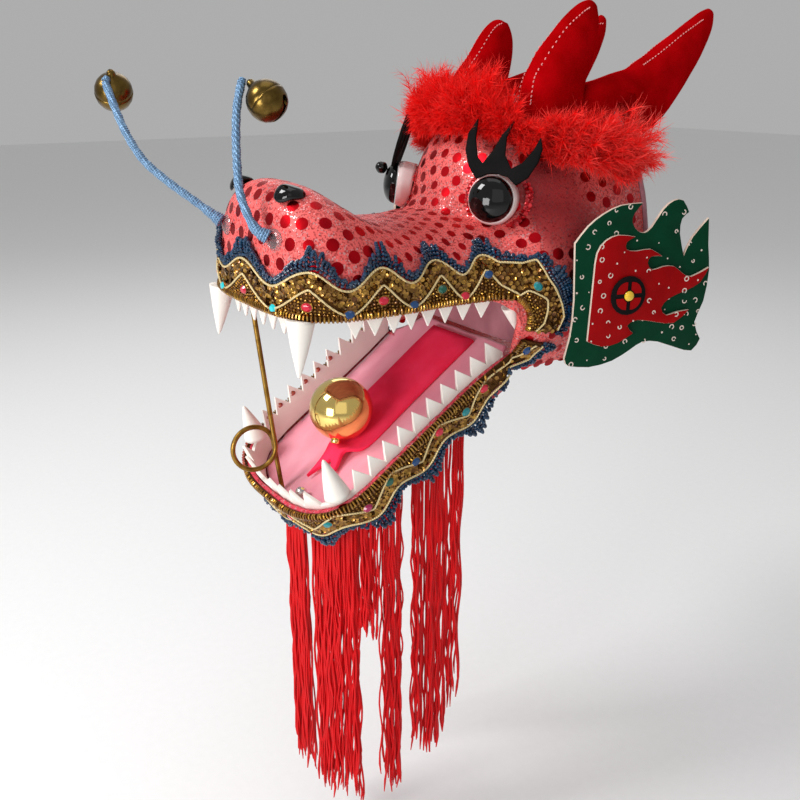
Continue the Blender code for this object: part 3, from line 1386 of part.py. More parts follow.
def build_fringe():
    """Build the red cord fringe: bundles of locks fused to a backing tape under the tray."""
    # near distance, far distance, bottom z
    bundles = (
        (-18.5, 4.0, -312.0), (13.0, 44.5, -312.0), (46.5, 56.0, -200.0), (59.5, 73.5, -305.0),
        (83.0, 89.5, -284.0), (93.0, 107.5, -292.0), (112.0, 119.5, -264.0), (-122.0, -114.0, -262.0),
        (-109.0, -95.0, -270.0), (-91.0, -80.0, -276.0),
    )
    line = both_sides(resample(lower_outline(8.0, rear=20.0), step=5.4))
    tape_top, tape_low = -JAW_DEPTH - GAP, -JAW_DEPTH - GAP - 1.6
    depth = 3.4
    mesh_verts, faces = [], []
    for p, n, _ in line:
        q = p - n * depth
        for plan, level in ((p, tape_top), (q, tape_top), (q, tape_low), (p, tape_low)):
            mesh_verts.append(jaw_point(plan[0], -plan[1], level))
    faces = grid_faces(len(line), 4, closed=True)
    faces.append((0, 1, 2, 3))
    end = 4 * (len(line) - 1)
    faces.append((end, end + 1, end + 2, end + 3))
    under = {}
    for i in range(len(line) - 1):
        under[i] = (4 * i + 2, 4 * i + 3, 4 * (i + 1) + 3, 4 * (i + 1) + 2)
    steps = 3
    for number, (near, far, bottom) in enumerate(bundles):
        cells = [i for i in range(len(line) - 1) if near <= 0.5 * (line[i][2] + line[i + 1][2]) <= far]
        for cell in cells:
            quad = under[cell]
            match = [f for f in faces if set(f) == set(quad)][0]
            faces.remove(match)
            ring = list(match)
            middle = sum(mesh_verts[k] for k in ring) / 4.0
            low = bottom + 10.0 * math.sin(3.1 * cell + number)
            for step in range(1, steps + 1):
                share = step / steps
                spread = 0.8 if step < steps else 0.4
                sway = np.array([math.sin(1.3 * cell + 2.2 * share), math.cos(2.1 * cell + share), 0])
                fresh = []
                for k in match:
                    corner = mesh_verts[k]
                    flat = np.array([corner[0] - middle[0], corner[1] - middle[1], 0.0]) * spread
                    drop = np.array([0.0, 0.0, (low - middle[2]) * share])
                    mesh_verts.append(middle + flat + drop + sway * 0.3 * share)
                    fresh.append(len(mesh_verts) - 1)
                for j in range(4):
                    m = (j + 1) % 4
                    faces.append((ring[j], ring[m], fresh[m], fresh[j]))
                ring = fresh
            faces.append(tuple(ring))
    add_object("fringe", mesh_verts, faces, "red_cord")


def main():
    """Build every piece of the head."""
    for old in list(bpy.data.objects):
        bpy.data.objects.remove(old, do_unlink=True)
    skin = build_head()
    build_throat()
    build_binding()
    tray_verts, tray_faces = build_mouth()
    build_teeth()
    build_palate()
    build_tongue()
    build_props()
    build_rod()
    eyes = build_eyes(skin)
    build_nostrils(skin)
    build_antennae(skin)
    both = combined_tree(tray_verts, tray_faces)
    solid = solid_tree("head_shell", "lower_jaw")
    for name, surface, stations, waves, trim in (
        ("upper", skin, upper_stations(), UPPER_WAVES, UPPER_TRIM),
        ("lower", both, lower_stations(), LOWER_WAVES, LOWER_TRIM),
    ):
        build_braid(f"{name}_trim", surface, solid, stations, waves)
        build_bead_edge(f"{name}_bead_edge", surface, solid, stations, waves, trim)
    build_antlers(skin)
    build_lashes(eyes)
    build_ears(skin)
    bpy.context.view_layer.update()
    trees = [object_tree(f"{name}_{side}") for name in ("antler", "lash") for side in ("left", "right")]
    build_boa(skin, [solid_tree("head_shell")] + trees)
    build_fringe()


def combined_tree(tray_verts, tray_faces):
    """Return one search tree of the head's skin and the tray's skin."""
    verts, faces = head_sheet()
    count = len(verts)
    merged = [tuple(v) for v in verts] + [tuple(v) for v in tray_verts]
    return tree_of(merged, list(faces) + [tuple(count + k for k in f) for f in tray_faces])


def object_tree(name):
    """Return a search tree of an object's evaluated mesh, in millimetres."""
    graph = bpy.context.evaluated_depsgraph_get()
    mesh = bpy.data.objects[name].evaluated_get(graph).to_mesh()
    verts = [np.array(v.co) / MM for v in mesh.vertices]
    return tree_of(verts, [tuple(p.vertices) for p in mesh.polygons])


main()
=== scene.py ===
"""Looks of the hand-held dragon dance head: cloth, foil dots, braid, beads, stones, felt and cords.

Sizes are in millimetres in the row frame unless a name says otherwise. The head faces -Y, stands
upright along +Z, and +X is the dragon's left.
"""

import logging
import math
from collections.abc import Callable, Sequence
from dataclasses import dataclass
from enum import Enum
from typing import ClassVar

import bmesh
import bpy
import numpy as np
from mathutils import Matrix, Vector
from mathutils.bvhtree import BVHTree


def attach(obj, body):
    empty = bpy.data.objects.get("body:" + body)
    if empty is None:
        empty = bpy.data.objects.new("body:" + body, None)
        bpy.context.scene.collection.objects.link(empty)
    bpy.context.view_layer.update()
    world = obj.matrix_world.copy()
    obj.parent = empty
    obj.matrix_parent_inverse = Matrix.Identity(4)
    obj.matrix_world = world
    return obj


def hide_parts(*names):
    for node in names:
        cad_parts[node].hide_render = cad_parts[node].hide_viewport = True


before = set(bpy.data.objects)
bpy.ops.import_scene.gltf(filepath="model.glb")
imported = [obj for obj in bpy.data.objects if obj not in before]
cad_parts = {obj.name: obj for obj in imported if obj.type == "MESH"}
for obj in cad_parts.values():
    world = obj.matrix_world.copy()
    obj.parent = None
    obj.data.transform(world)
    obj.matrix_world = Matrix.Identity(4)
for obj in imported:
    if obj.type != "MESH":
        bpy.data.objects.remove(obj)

LOG = logging.getLogger("dragon_head")
MM = 0.001
ROOT = "root"
Colour = tuple[float, float, float]
Table = Sequence[tuple[float, ...]]
UPRIGHT = np.array([0.0, 0.0, 1.0])
# radians in one wave of a ripple
WAVE = 6.28


class Wire:
    """One output of a shader node, which takes part in sums like a number."""

    def __init__(self, graph: "Graph", socket: bpy.types.NodeSocket) -> None:
        """Keep the socket and the graph it belongs to."""
        self.graph = graph
        self.socket = socket

    def _sum(self, operation: str, first: "Wire | float", second: "Wire | float") -> "Wire":
        """Add a Math node for one operation on two values."""
        return self.graph.node("ShaderNodeMath", {"operation": operation}, {0: first, 1: second})

    def __add__(self, other: "Wire | float") -> "Wire":
        """Add."""
        return self._sum("ADD", self, other)

    def __radd__(self, other: float) -> "Wire":
        """Add, with the number on the left."""
        return self._sum("ADD", other, self)

    def __sub__(self, other: "Wire | float") -> "Wire":
        """Subtract."""
        return self._sum("SUBTRACT", self, other)

    def __rsub__(self, other: float) -> "Wire":
        """Subtract from a number."""
        return self._sum("SUBTRACT", other, self)

    def __mul__(self, other: "Wire | float") -> "Wire":
        """Multiply."""
        return self._sum("MULTIPLY", self, other)

    def __rmul__(self, other: float) -> "Wire":
        """Multiply, with the number on the left."""
        return self._sum("MULTIPLY", other, self)

    def __gt__(self, other: float) -> "Wire":
        """Give 1 where the value is above a number, and 0 elsewhere."""
        return self._sum("GREATER_THAN", self, other)


class Graph:
    """The shader nodes of one material."""

    def __init__(self, name: str) -> None:
        """Start a material with a Principled shader and coordinates in the row frame."""
        self.material = bpy.data.materials.new(name)
        self.material.use_nodes = True
        self.tree = self.material.node_tree
        self.shader = self.tree.nodes["Principled BSDF"]
        self.place = self.node("ShaderNodeTexCoord", out="Object")

    def node(
        self,
        kind: str,
        settings: dict[str, object] | None = None,
        sockets: dict[int | str, object] | None = None,
        out: int | str = 0,
    ) -> Wire:
        """Add one node.

        Args:
            kind: The node's type.
            settings: Its properties; stops lists a ramp's positions and colours.
            sockets: Values or wires for its inputs, by name or number.
            out: The output to return.

        Returns:
            The chosen output.
        """
        made = self.tree.nodes.new(kind)
        for key, value in (settings or {}).items():
            if key == "stops":
                self._set_stops(made.color_ramp, value)
            else:
                setattr(made, key, value)
        for key, value in (sockets or {}).items():
            if isinstance(value, Wire):
                self.tree.links.new(value.socket, made.inputs[key])
            elif isinstance(value, tuple) and len(value) == 3 and made.inputs[key].type == "RGBA":
                made.inputs[key].default_value = (*value, 1.0)
            else:
                made.inputs[key].default_value = value
        return Wire(self, made.outputs[out])

    @staticmethod
    def _set_stops(ramp: bpy.types.ColorRamp, stops: Table) -> None:
        """Give a ramp its positions and grey values or colours."""
        while len(ramp.elements) < len(stops):
            ramp.elements.new(0.5)
        for element, (position, *colour) in zip(ramp.elements, stops):
            element.position = position
            element.color = (*(colour * 3 if len(colour) == 1 else colour), 1.0)

    def set(self, **values: object) -> None:
        """Set the shader's own sockets to constants; an underscore stands for a space."""
        for key, value in values.items():
            socket = self.shader.inputs[key.replace("_", " ")]
            socket.default_value = (*value, 1.0) if isinstance(value, tuple) else value

    def feed(self, socket: str, wire: Wire) -> None:
        """Link a wire to one of the shader's sockets."""
        self.tree.links.new(wire.socket, self.shader.inputs[socket])

    def mix(self, factor: Wire | float, first: "Wire | Colour", second: "Wire | Colour") -> Wire:
        """Mix two colours.

        Args:
            factor: The share of the second colour.
            first: The colour at 0.
            second: The colour at 1.

        Returns:
            The mixed colour.
        """
        return self.node("ShaderNodeMix", {"data_type": "RGBA"}, {0: factor, 6: first, 7: second}, 2)

    def noise(self, pitch_mm: float, detail: float = 2.0, stretch: Colour = (1.0, 1.0, 1.0)) -> Wire:
        """Give soft noise.

        Args:
            pitch_mm: The size of its patches.
            detail: Its finer octaves.
            stretch: How much its patches shrink along X, Y and Z.

        Returns:
            A value round 0.5.
        """
        where = self.node("ShaderNodeMapping", None, {"Vector": self.place, "Scale": stretch})
        return self.node(
            "ShaderNodeTexNoise", None, {"Vector": where, "Scale": 1000.0 / pitch_mm, "Detail": detail}
        )

    def cells(self, pitch_mm: float) -> tuple[Wire, Wire]:
        """Give cells of one size.

        Args:
            pitch_mm: The cells' pitch.

        Returns:
            The distance from each cell's middle and a chance value for each cell.
        """
        sockets = {"Vector": self.place, "Scale": 1000.0 / pitch_mm}
        near = self.node("ShaderNodeTexVoronoi", None, sockets, "Distance")
        color = Wire(self, near.socket.node.outputs["Color"])
        chance = self.node("ShaderNodeSeparateColor", None, {0: color})
        return near, chance

    def ramp(self, value: Wire, *stops: tuple[float, ...]) -> Wire:
        """Read a value on a ramp of positions and grey values or colours."""
        return self.node("ShaderNodeValToRGB", {"stops": stops}, {0: value})

    def bump(self, height: Wire, depth_mm: float, strength: float = 1.0) -> None:
        """Give the surface relief.

        Args:
            height: The relief from 0 to 1.
            depth_mm: How deep it is.
            strength: How much of it shows.
        """
        sockets = {"Height": height, "Distance": depth_mm * MM, "Strength": strength}
        self.feed("Normal", self.node("ShaderNodeBump", None, sockets))


@dataclass(frozen=True)
class Finish:
    """A finish of one of the prop's materials."""

    name: str
    colour: Colour
    second: Colour
    roughness: float = 0.5
    specular: ClassVar[float] = 0.5

    def material(self) -> bpy.types.Material:
        """Return the finish as a material, made once."""
        label = f"finish_{self.name}"
        found = bpy.data.materials.get(label)
        if found:
            return found
        graph = Graph(label)
        graph.set(Base_Color=self.colour, Roughness=self.roughness, Specular_IOR_Level=self.specular)
        self.paint(graph)
        graph.material.diffuse_color = (*self.colour, 1.0)
        return graph.material

    def paint(self, graph: Graph) -> None:
        """Add what varies over the surface."""
        graph.feed("Base Color", graph.mix(graph.noise(6.0), self.colour, self.second))


@dataclass(frozen=True)
class GlitterCloth(Finish):
    """Stretch cloth with a fine glitter print, which darkens where its tint attribute rises, as painted shade
    on the head.
    """

    glint: Colour = (0.90, 0.42, 0.42)
    # the colour of the dark specks, and the colour that the painted shade darkens the ground towards
    shade: Colour = (0.20, 0.003, 0.006)
    speck_mm: float = 0.75
    specular: ClassVar[float] = 0.3

    def paint(self, graph: Graph) -> None:
        """Mix ground, dark specks and glints, and darken the places the tint attribute names, which on the
        head is painted shade.
        """
        near, chance = graph.cells(self.speck_mm)
        ground = graph.mix(graph.noise(9.0, 3.0), self.colour, self.second)
        ground = graph.mix((chance > 0.62) * 0.55, ground, self.shade)
        ground = graph.mix((chance > 0.88) * 0.7, ground, self.glint)
        tint = graph.node("ShaderNodeAttribute", {"attribute_name": "tint"}, out="Fac")
        # painted shade: the tint attribute darkens the ground towards the shade colour
        graph.feed("Base Color", graph.mix(tint * 0.93, ground, self.shade))
        graph.feed("Roughness", 0.55 - (chance > 0.8) * 0.3)
        graph.feed("Metallic", (chance > 0.85) * 0.5)
        graph.bump(near + graph.noise(1.6) * 0.4, 0.12, 0.5)


@dataclass(frozen=True)
class Satin(Finish):
    """Smooth satin with soft creases."""

    crease_mm: float = 11.0
    sheen: float = 0.25

    def paint(self, graph: Graph) -> None:
        """Mix two close colours along the creases, the darker one as painted shade in their troughs, and
        raise a fine weave.
        """
        crease = graph.noise(self.crease_mm, 3.0, (1.0, 0.45, 0.6))
        graph.set(Sheen_Weight=self.sheen)
        light = graph.ramp(crease, (0.3, 0.0), (0.7, 1.0))
        graph.feed("Base Color", graph.mix(light, self.second, self.colour))
        graph.feed("Roughness", crease * 0.2 + (self.roughness - 0.1))
        graph.bump(crease + graph.noise(0.5, 1.0, (1.0, 3.0, 1.0)) * 0.06, 0.9, 0.45)


@dataclass(frozen=True)
class Felt(Finish):
    """Napped felt with fine crossing fibres."""

    nap_mm: float = 0.35
    specular: ClassVar[float] = 0.0

    def paint(self, graph: Graph) -> None:
        """Mix two shades in soft patches and raise the fibres."""
        patch = graph.noise(14.0, 3.0)
        fibre = graph.noise(self.nap_mm, 3.0, (1.0, 0.35, 1.4))
        worn = graph.mix(graph.ramp(patch, (0.35, 0.0), (0.7, 1.0)), self.colour, self.second)
        graph.feed("Base Color", graph.mix((fibre > 0.6) * 0.1, worn, (0.75, 0.02, 0.02)))
        graph.feed("Roughness", fibre * 0.2 + (self.roughness - 0.1))
        graph.bump(fibre, 0.15, 0.6)


@dataclass(frozen=True)
class Foam(Finish):
    """Fine closed foam with a skin and faint pores."""

    pore_mm: float = 0.5
    specular: ClassVar[float] = 0.06

    def paint(self, graph: Graph) -> None:
        """Mottle the colour faintly and prick the skin with pores."""
        near, chance = graph.cells(self.pore_mm)
        graph.feed("Base Color", graph.mix(graph.noise(8.0, 3.0), self.colour, self.second))
        graph.feed("Roughness", chance * 0.12 + (self.roughness - 0.06))
        graph.bump(near, 0.06, 0.5)


@dataclass(frozen=True)
class Metal(Finish):
    """Plated or solid metal with cloudy wear."""

    cloud_mm: float = 5.0

    def paint(self, graph: Graph) -> None:
        """Cloud the colour and the gloss."""
        cloud = graph.noise(self.cloud_mm, 4.0)
        graph.set(Metallic=1.0)
        worn = graph.ramp(cloud, (0.42, 0.0), (0.68, 1.0))
        graph.feed("Base Color", graph.mix(worn, self.colour, self.second))
        graph.feed("Roughness", worn * 0.12 + self.roughness)


@dataclass(frozen=True)
class Gloss(Finish):
    """Polished plastic under a clear coat."""

    coat: float = 0.8
    specular: ClassVar[float] = 0.25

    def paint(self, graph: Graph) -> None:
        """Add the coat and a faint change of shade."""
        graph.set(Coat_Weight=self.coat, Coat_Roughness=0.03)
        graph.feed("Base Color", graph.mix(graph.noise(5.0), self.colour, self.second))


@dataclass(frozen=True)
class BeadGlass(Finish):
    """Seed beads or sequins, each of its own shade."""

    bead_mm: float = 2.2
    metallic: float = 0.0

    def paint(self, graph: Graph) -> None:
        """Give each bead a shade of its own."""
        _, chance = graph.cells(self.bead_mm)
        graph.set(Metallic=self.metallic, Coat_Weight=0.6, Coat_Roughness=0.05)
        graph.feed("Base Color", graph.mix(chance, self.colour, self.second))
        graph.feed("Roughness", chance * 0.15 + self.roughness)


@dataclass(frozen=True)
class Thread(Finish):
    """Twisted thread or cord, with bands that run round it."""

    twist_mm: float = 1.1
    metallic: float = 0.0
    specular: ClassVar[float] = 0.2

    def paint(self, graph: Graph) -> None:
        """Darken the twist's grooves with painted shade, mixed with soft patches, and raise the twist."""
        sockets = {"Vector": graph.place, "Scale": 1000.0 / (self.twist_mm * 3.0), "Distortion": 1.5}
        twist = graph.node("ShaderNodeTexWave", {"bands_direction": "DIAGONAL"}, sockets, "Fac")
        patch = graph.noise(7.0, 3.0)
        graph.set(Metallic=self.metallic)
        graph.feed("Base Color", graph.mix(twist * 0.5 + patch * 0.5, self.second, self.colour))
        graph.feed("Roughness", self.roughness + twist * 0.1)
        graph.bump(twist, 0.25, 0.7)


@dataclass(frozen=True)
class Down(Finish):
    """Red down, paler towards the tips named by the tint attribute, as painted light on the tips."""

    specular: ClassVar[float] = 0.0

    def paint(self, graph: Graph) -> None:
        """Run from the root colour to the tip colour, the painted light on the tips."""
        tint = graph.node("ShaderNodeAttribute", {"attribute_name": "tint"}, out="Fac")
        graph.feed("Base Color", graph.mix(tint, self.colour, self.second))


@dataclass(frozen=True)
class ClearGlue(Finish):
    """A blob of clear glue."""

    def paint(self, graph: Graph) -> None:
        """Make the blob clear and wet."""
        graph.set(Transmission_Weight=0.9, IOR=1.4)
        graph.feed("Roughness", graph.noise(2.0) * 0.2)


class Looks(Enum):
    """The finishes of the prop."""

    HEAD_CLOTH = GlitterCloth("head_cloth", (0.76, 0.075, 0.075), (0.88, 0.17, 0.155))
    JAW_CLOTH = GlitterCloth("jaw_cloth", (0.58, 0.03, 0.06), (0.64, 0.06, 0.09))
    FOIL_DOT = Metal("foil_dot", (0.55, 0.006, 0.012), (0.26, 0.002, 0.006), 0.34, 22.0)
    # the satins' second colours are the painted shade in their creases
    MAUVE = Satin("mauve_cloth", (0.42, 0.17, 0.20), (0.30, 0.10, 0.13), 0.6)
    LINING = Satin("pink_satin", (0.93, 0.40, 0.49), (0.86, 0.30, 0.39), 0.42)
    TONGUE = Felt("crimson_felt", (1.0, 0.045, 0.12), (0.96, 0.03, 0.09), 0.5)
    TOOTH = Foam("white_foam", (0.90, 0.86, 0.80), (0.86, 0.80, 0.73), 0.45)
    # each thread's second colour is the painted shade in the grooves of its twist, mixed with soft patches
    BRAID = Thread("braid_ground", (0.16, 0.065, 0.010), (0.03, 0.008, 0.003), 0.45, 0.8, 0.6)
    SEQUIN = BeadGlass("gold_sequin", (0.50, 0.27, 0.04), (0.13, 0.04, 0.006), 0.2, 2.0, 1.0)
    LOOP = BeadGlass("gold_loops", (0.50, 0.27, 0.035), (0.17, 0.055, 0.008), 0.26, 2.0, 1.0)
    CREAM_CORD = Thread("cream_cord", (0.86, 0.72, 0.42), (0.60, 0.42, 0.16), 0.35, 0.9, 0.25)
    BLUE_BEAD = BeadGlass("blue_seed_bead", (0.001, 0.010, 0.036), (0.002, 0.045, 0.11), 0.2, 2.0)
    RED_SEQUIN = BeadGlass("red_sequin", (0.75, 0.01, 0.02), (0.40, 0.003, 0.01), 0.15, 2.0, 0.6)
    RUST_BEAD = BeadGlass("rust_bead", (0.30, 0.03, 0.02), (0.50, 0.12, 0.06), 0.15, 2.0)
    TURQUOISE = Gloss("turquoise_stone", (0.01, 0.62, 0.66), (0.02, 0.50, 0.55), 0.05)
    RED_STONE = Gloss("red_stone", (0.62, 0.01, 0.04), (0.50, 0.005, 0.03), 0.05)
    NAVY_STONE = Gloss("navy_stone", (0.004, 0.03, 0.14), (0.003, 0.06, 0.18), 0.05)
    GREEN_STONE = Gloss("green_stone", (0.003, 0.12, 0.07), (0.002, 0.07, 0.05), 0.05)
    TEAL_STONE = Gloss("teal_stone", (0.005, 0.25, 0.26), (0.004, 0.17, 0.2), 0.05)
    MAGENTA_STONE = Gloss("magenta_stone", (0.42, 0.01, 0.10), (0.30, 0.005, 0.07), 0.05)
    BLACK = Gloss("black_gloss", (0.001, 0.001, 0.001), (0.002, 0.002, 0.002), 0.06, 0.3)
    EYE_WHITE = Gloss("eye_white", (0.84, 0.72, 0.70), (0.80, 0.66, 0.64), 0.35)
    LASH = Foam("black_foam", (0.004, 0.004, 0.004), (0.010, 0.009, 0.009), 0.8)
    HORN = Felt("red_felt", (0.42, 0.001, 0.003), (0.28, 0.0005, 0.001), 0.75)
    STITCH = Thread("pale_stitch", (0.90, 0.42, 0.40), (0.80, 0.25, 0.25), 0.5)
    # the down's second colour is the painted light on its tips
    DOWN = Down("red_down", (0.88, 0.001, 0.001), (0.97, 0.26, 0.22), 0.8)
    GREEN_FOAM = Foam("green_foam", (0.002, 0.045, 0.020), (0.001, 0.028, 0.012), 0.45)
    RED_FOAM = Foam("red_foam", (0.34, 0.002, 0.003), (0.24, 0.001, 0.002), 0.5)
    CUT_EDGE = Foam("cut_edge", (0.72, 0.60, 0.50), (0.55, 0.42, 0.34), 0.7)
    RING_MARK = Foam("ring_mark", (0.78, 0.66, 0.58), (0.60, 0.48, 0.42), 0.5)
    YELLOW = Gloss("yellow_bead", (0.85, 0.58, 0.03), (0.70, 0.42, 0.02), 0.25)
    ANTENNA = Thread("blue_thread", (0.26, 0.42, 0.60), (0.07, 0.15, 0.28), 0.35, 1.2, 0.35)
    BRASS = Metal("brass", (0.16, 0.10, 0.025), (0.08, 0.045, 0.010), 0.24)
    ROD = Metal("rod_brass", (0.34, 0.19, 0.04), (0.17, 0.085, 0.015), 0.32)
    GOLD = Metal("gold_mirror", (0.95, 0.70, 0.24), (0.92, 0.66, 0.20), 0.035, 30.0)
    SILVER = Metal("silver_bead", (0.70, 0.70, 0.70), (0.45, 0.44, 0.42), 0.2)
    COPPER = Metal("copper_wire", (0.50, 0.22, 0.10), (0.35, 0.13, 0.06), 0.3)
    CORD = Thread("red_cord", (0.82, 0.004, 0.008), (0.46, 0.001, 0.003), 0.45, 0.9)
    GLUE = ClearGlue("clear_glue", (0.9, 0.92, 0.95), (0.9, 0.92, 0.95), 0.1)
    FLOOR = Finish("pale_floor", (0.86, 0.86, 0.86), (0.90, 0.90, 0.90), 0.8)


# Geometry helpers


def unit(v: np.ndarray) -> np.ndarray:
    """Return the unit vector along v."""
    v = np.asarray(v, float)
    return v / np.linalg.norm(v)


def across(axis: np.ndarray) -> tuple[np.ndarray, np.ndarray]:
    """Return two unit vectors across an axis."""
    helper = UPRIGHT if abs(unit(axis)[2]) < 0.9 else np.array([1.0, 0.0, 0.0])
    first = unit(np.cross(axis, helper))
    return first, np.cross(unit(axis), first)


def ring(
    middle: np.ndarray, first: np.ndarray, second: np.ndarray, radius: float, turns: Sequence[float]
) -> list[np.ndarray]:
    """Return points round a middle.

    Args:
        middle: The middle.
        first: The direction at turn 0.
        second: The direction a quarter turn on.
        radius: The ring's radius.
        turns: The points' turns.

    Returns:
        One point for each turn.
    """
    return [middle + (first * math.cos(a) + second * math.sin(a)) * radius for a in turns]


def sleeve_faces(rows: int, sides: int) -> list[tuple[int, ...]]:
    """Return the faces between closed rows of points that follow one another."""
    return [
        (i * sides + j, i * sides + (j + 1) % sides, (i + 1) * sides + (j + 1) % sides, (i + 1) * sides + j)
        for i in range(rows - 1)
        for j in range(sides)
    ]


def run_lengths(points: Sequence[np.ndarray]) -> np.ndarray:
    """Return how far each point lies along the line through them all."""
    steps = np.linalg.norm(np.diff(np.asarray(points), axis=0), axis=1)
    return np.concatenate([[0.0], np.cumsum(steps)])


def read_rows(distance: float, lengths: np.ndarray, rows: np.ndarray) -> np.ndarray:
    """Return the columns of a table of rows at a distance."""
    return np.array([np.interp(distance, lengths, column) for column in rows.T])


def smooth_table(x: float, table: Table, column: int = 1) -> float:
    """Read a table with a smooth curve through its rows.

    Args:
        x: The station.
        table: Rows that start with their station.
        column: The column to read.

    Returns:
        The value at the station.
    """
    xs = [row[0] for row in table]
    ys = [row[column] for row in table]
    x = min(max(x, xs[0]), xs[-1])
    i = min(max(int(np.searchsorted(xs, x)) - 1, 0), len(xs) - 2)

    def slope(k: int) -> float:
        a, b = max(k - 1, 0), min(k + 1, len(xs) - 1)
        return (ys[b] - ys[a]) / (xs[b] - xs[a])

    span = xs[i + 1] - xs[i]
    t = (x - xs[i]) / span
    near = (2 * t**3 - 3 * t**2 + 1) * ys[i] + (t**3 - 2 * t**2 + t) * slope(i) * span
    return near + (3 * t**2 - 2 * t**3) * ys[i + 1] + (t**3 - t**2) * slope(i + 1) * span


def curve_through(points: Sequence[np.ndarray], count: int) -> list[np.ndarray]:
    """Return points on a smooth curve through others.

    Args:
        points: The points it passes through.
        count: How many points to return.

    Returns:
        The curve's points.
    """
    points = [np.asarray(p, float) for p in points]
    result = []
    for k in range(count):
        t = k / (count - 1) * (len(points) - 1)
        i = min(int(t), len(points) - 2)
        f = t - i
        p0, p1, p2 = points[max(i - 1, 0)], points[i], points[i + 1]
        p3 = points[min(i + 2, len(points) - 1)]
        result.append(0.5 * (2 * p1 + (p2 - p0) * f + (2 * p0 - 5 * p1 + 4 * p2 - p3) * f**2
                             + (3 * p1 - p0 - 3 * p2 + p3) * f**3))
    return result


class Skin:
    """A surface that others lie on, searched in millimetres."""

    def __init__(self, *pieces: bpy.types.Object) -> None:
        """Read the pieces' meshes."""
        points: list[Vector] = []
        faces: list[tuple[int, ...]] = []
        for piece in pieces:
            start = len(points)
            points += [v.co / MM for v in piece.data.vertices]
            faces += [tuple(start + k for k in p.vertices) for p in piece.data.polygons]
        self.tree = BVHTree.FromPolygons(points, faces)

    def land(
        self, point: np.ndarray, way: np.ndarray, reach: float = 40.0
    ) -> tuple[np.ndarray, np.ndarray] | None:
        """Cast a ray at the surface.

        Args:
            point: A point on the ray near the surface.
            way: The ray's direction, into the surface.
            reach: How far from the point the search goes, both ways.

        Returns:
            Where it lands and the normal against the ray, or None.
        """
        way = unit(way)
        found = self.tree.ray_cast(Vector(point - way * reach), Vector(way), 2.0 * reach)
        if found[0] is None:
            return None
        normal = np.array(found[1])
        return np.array(found[0]), (normal if normal @ way < 0 else -normal)

    def near(self, point: np.ndarray) -> tuple[np.ndarray, np.ndarray]:
        """Return the nearest place on the surface and its normal."""
        found = self.tree.find_nearest(Vector(point))
        return np.array(found[0]), np.array(found[1])


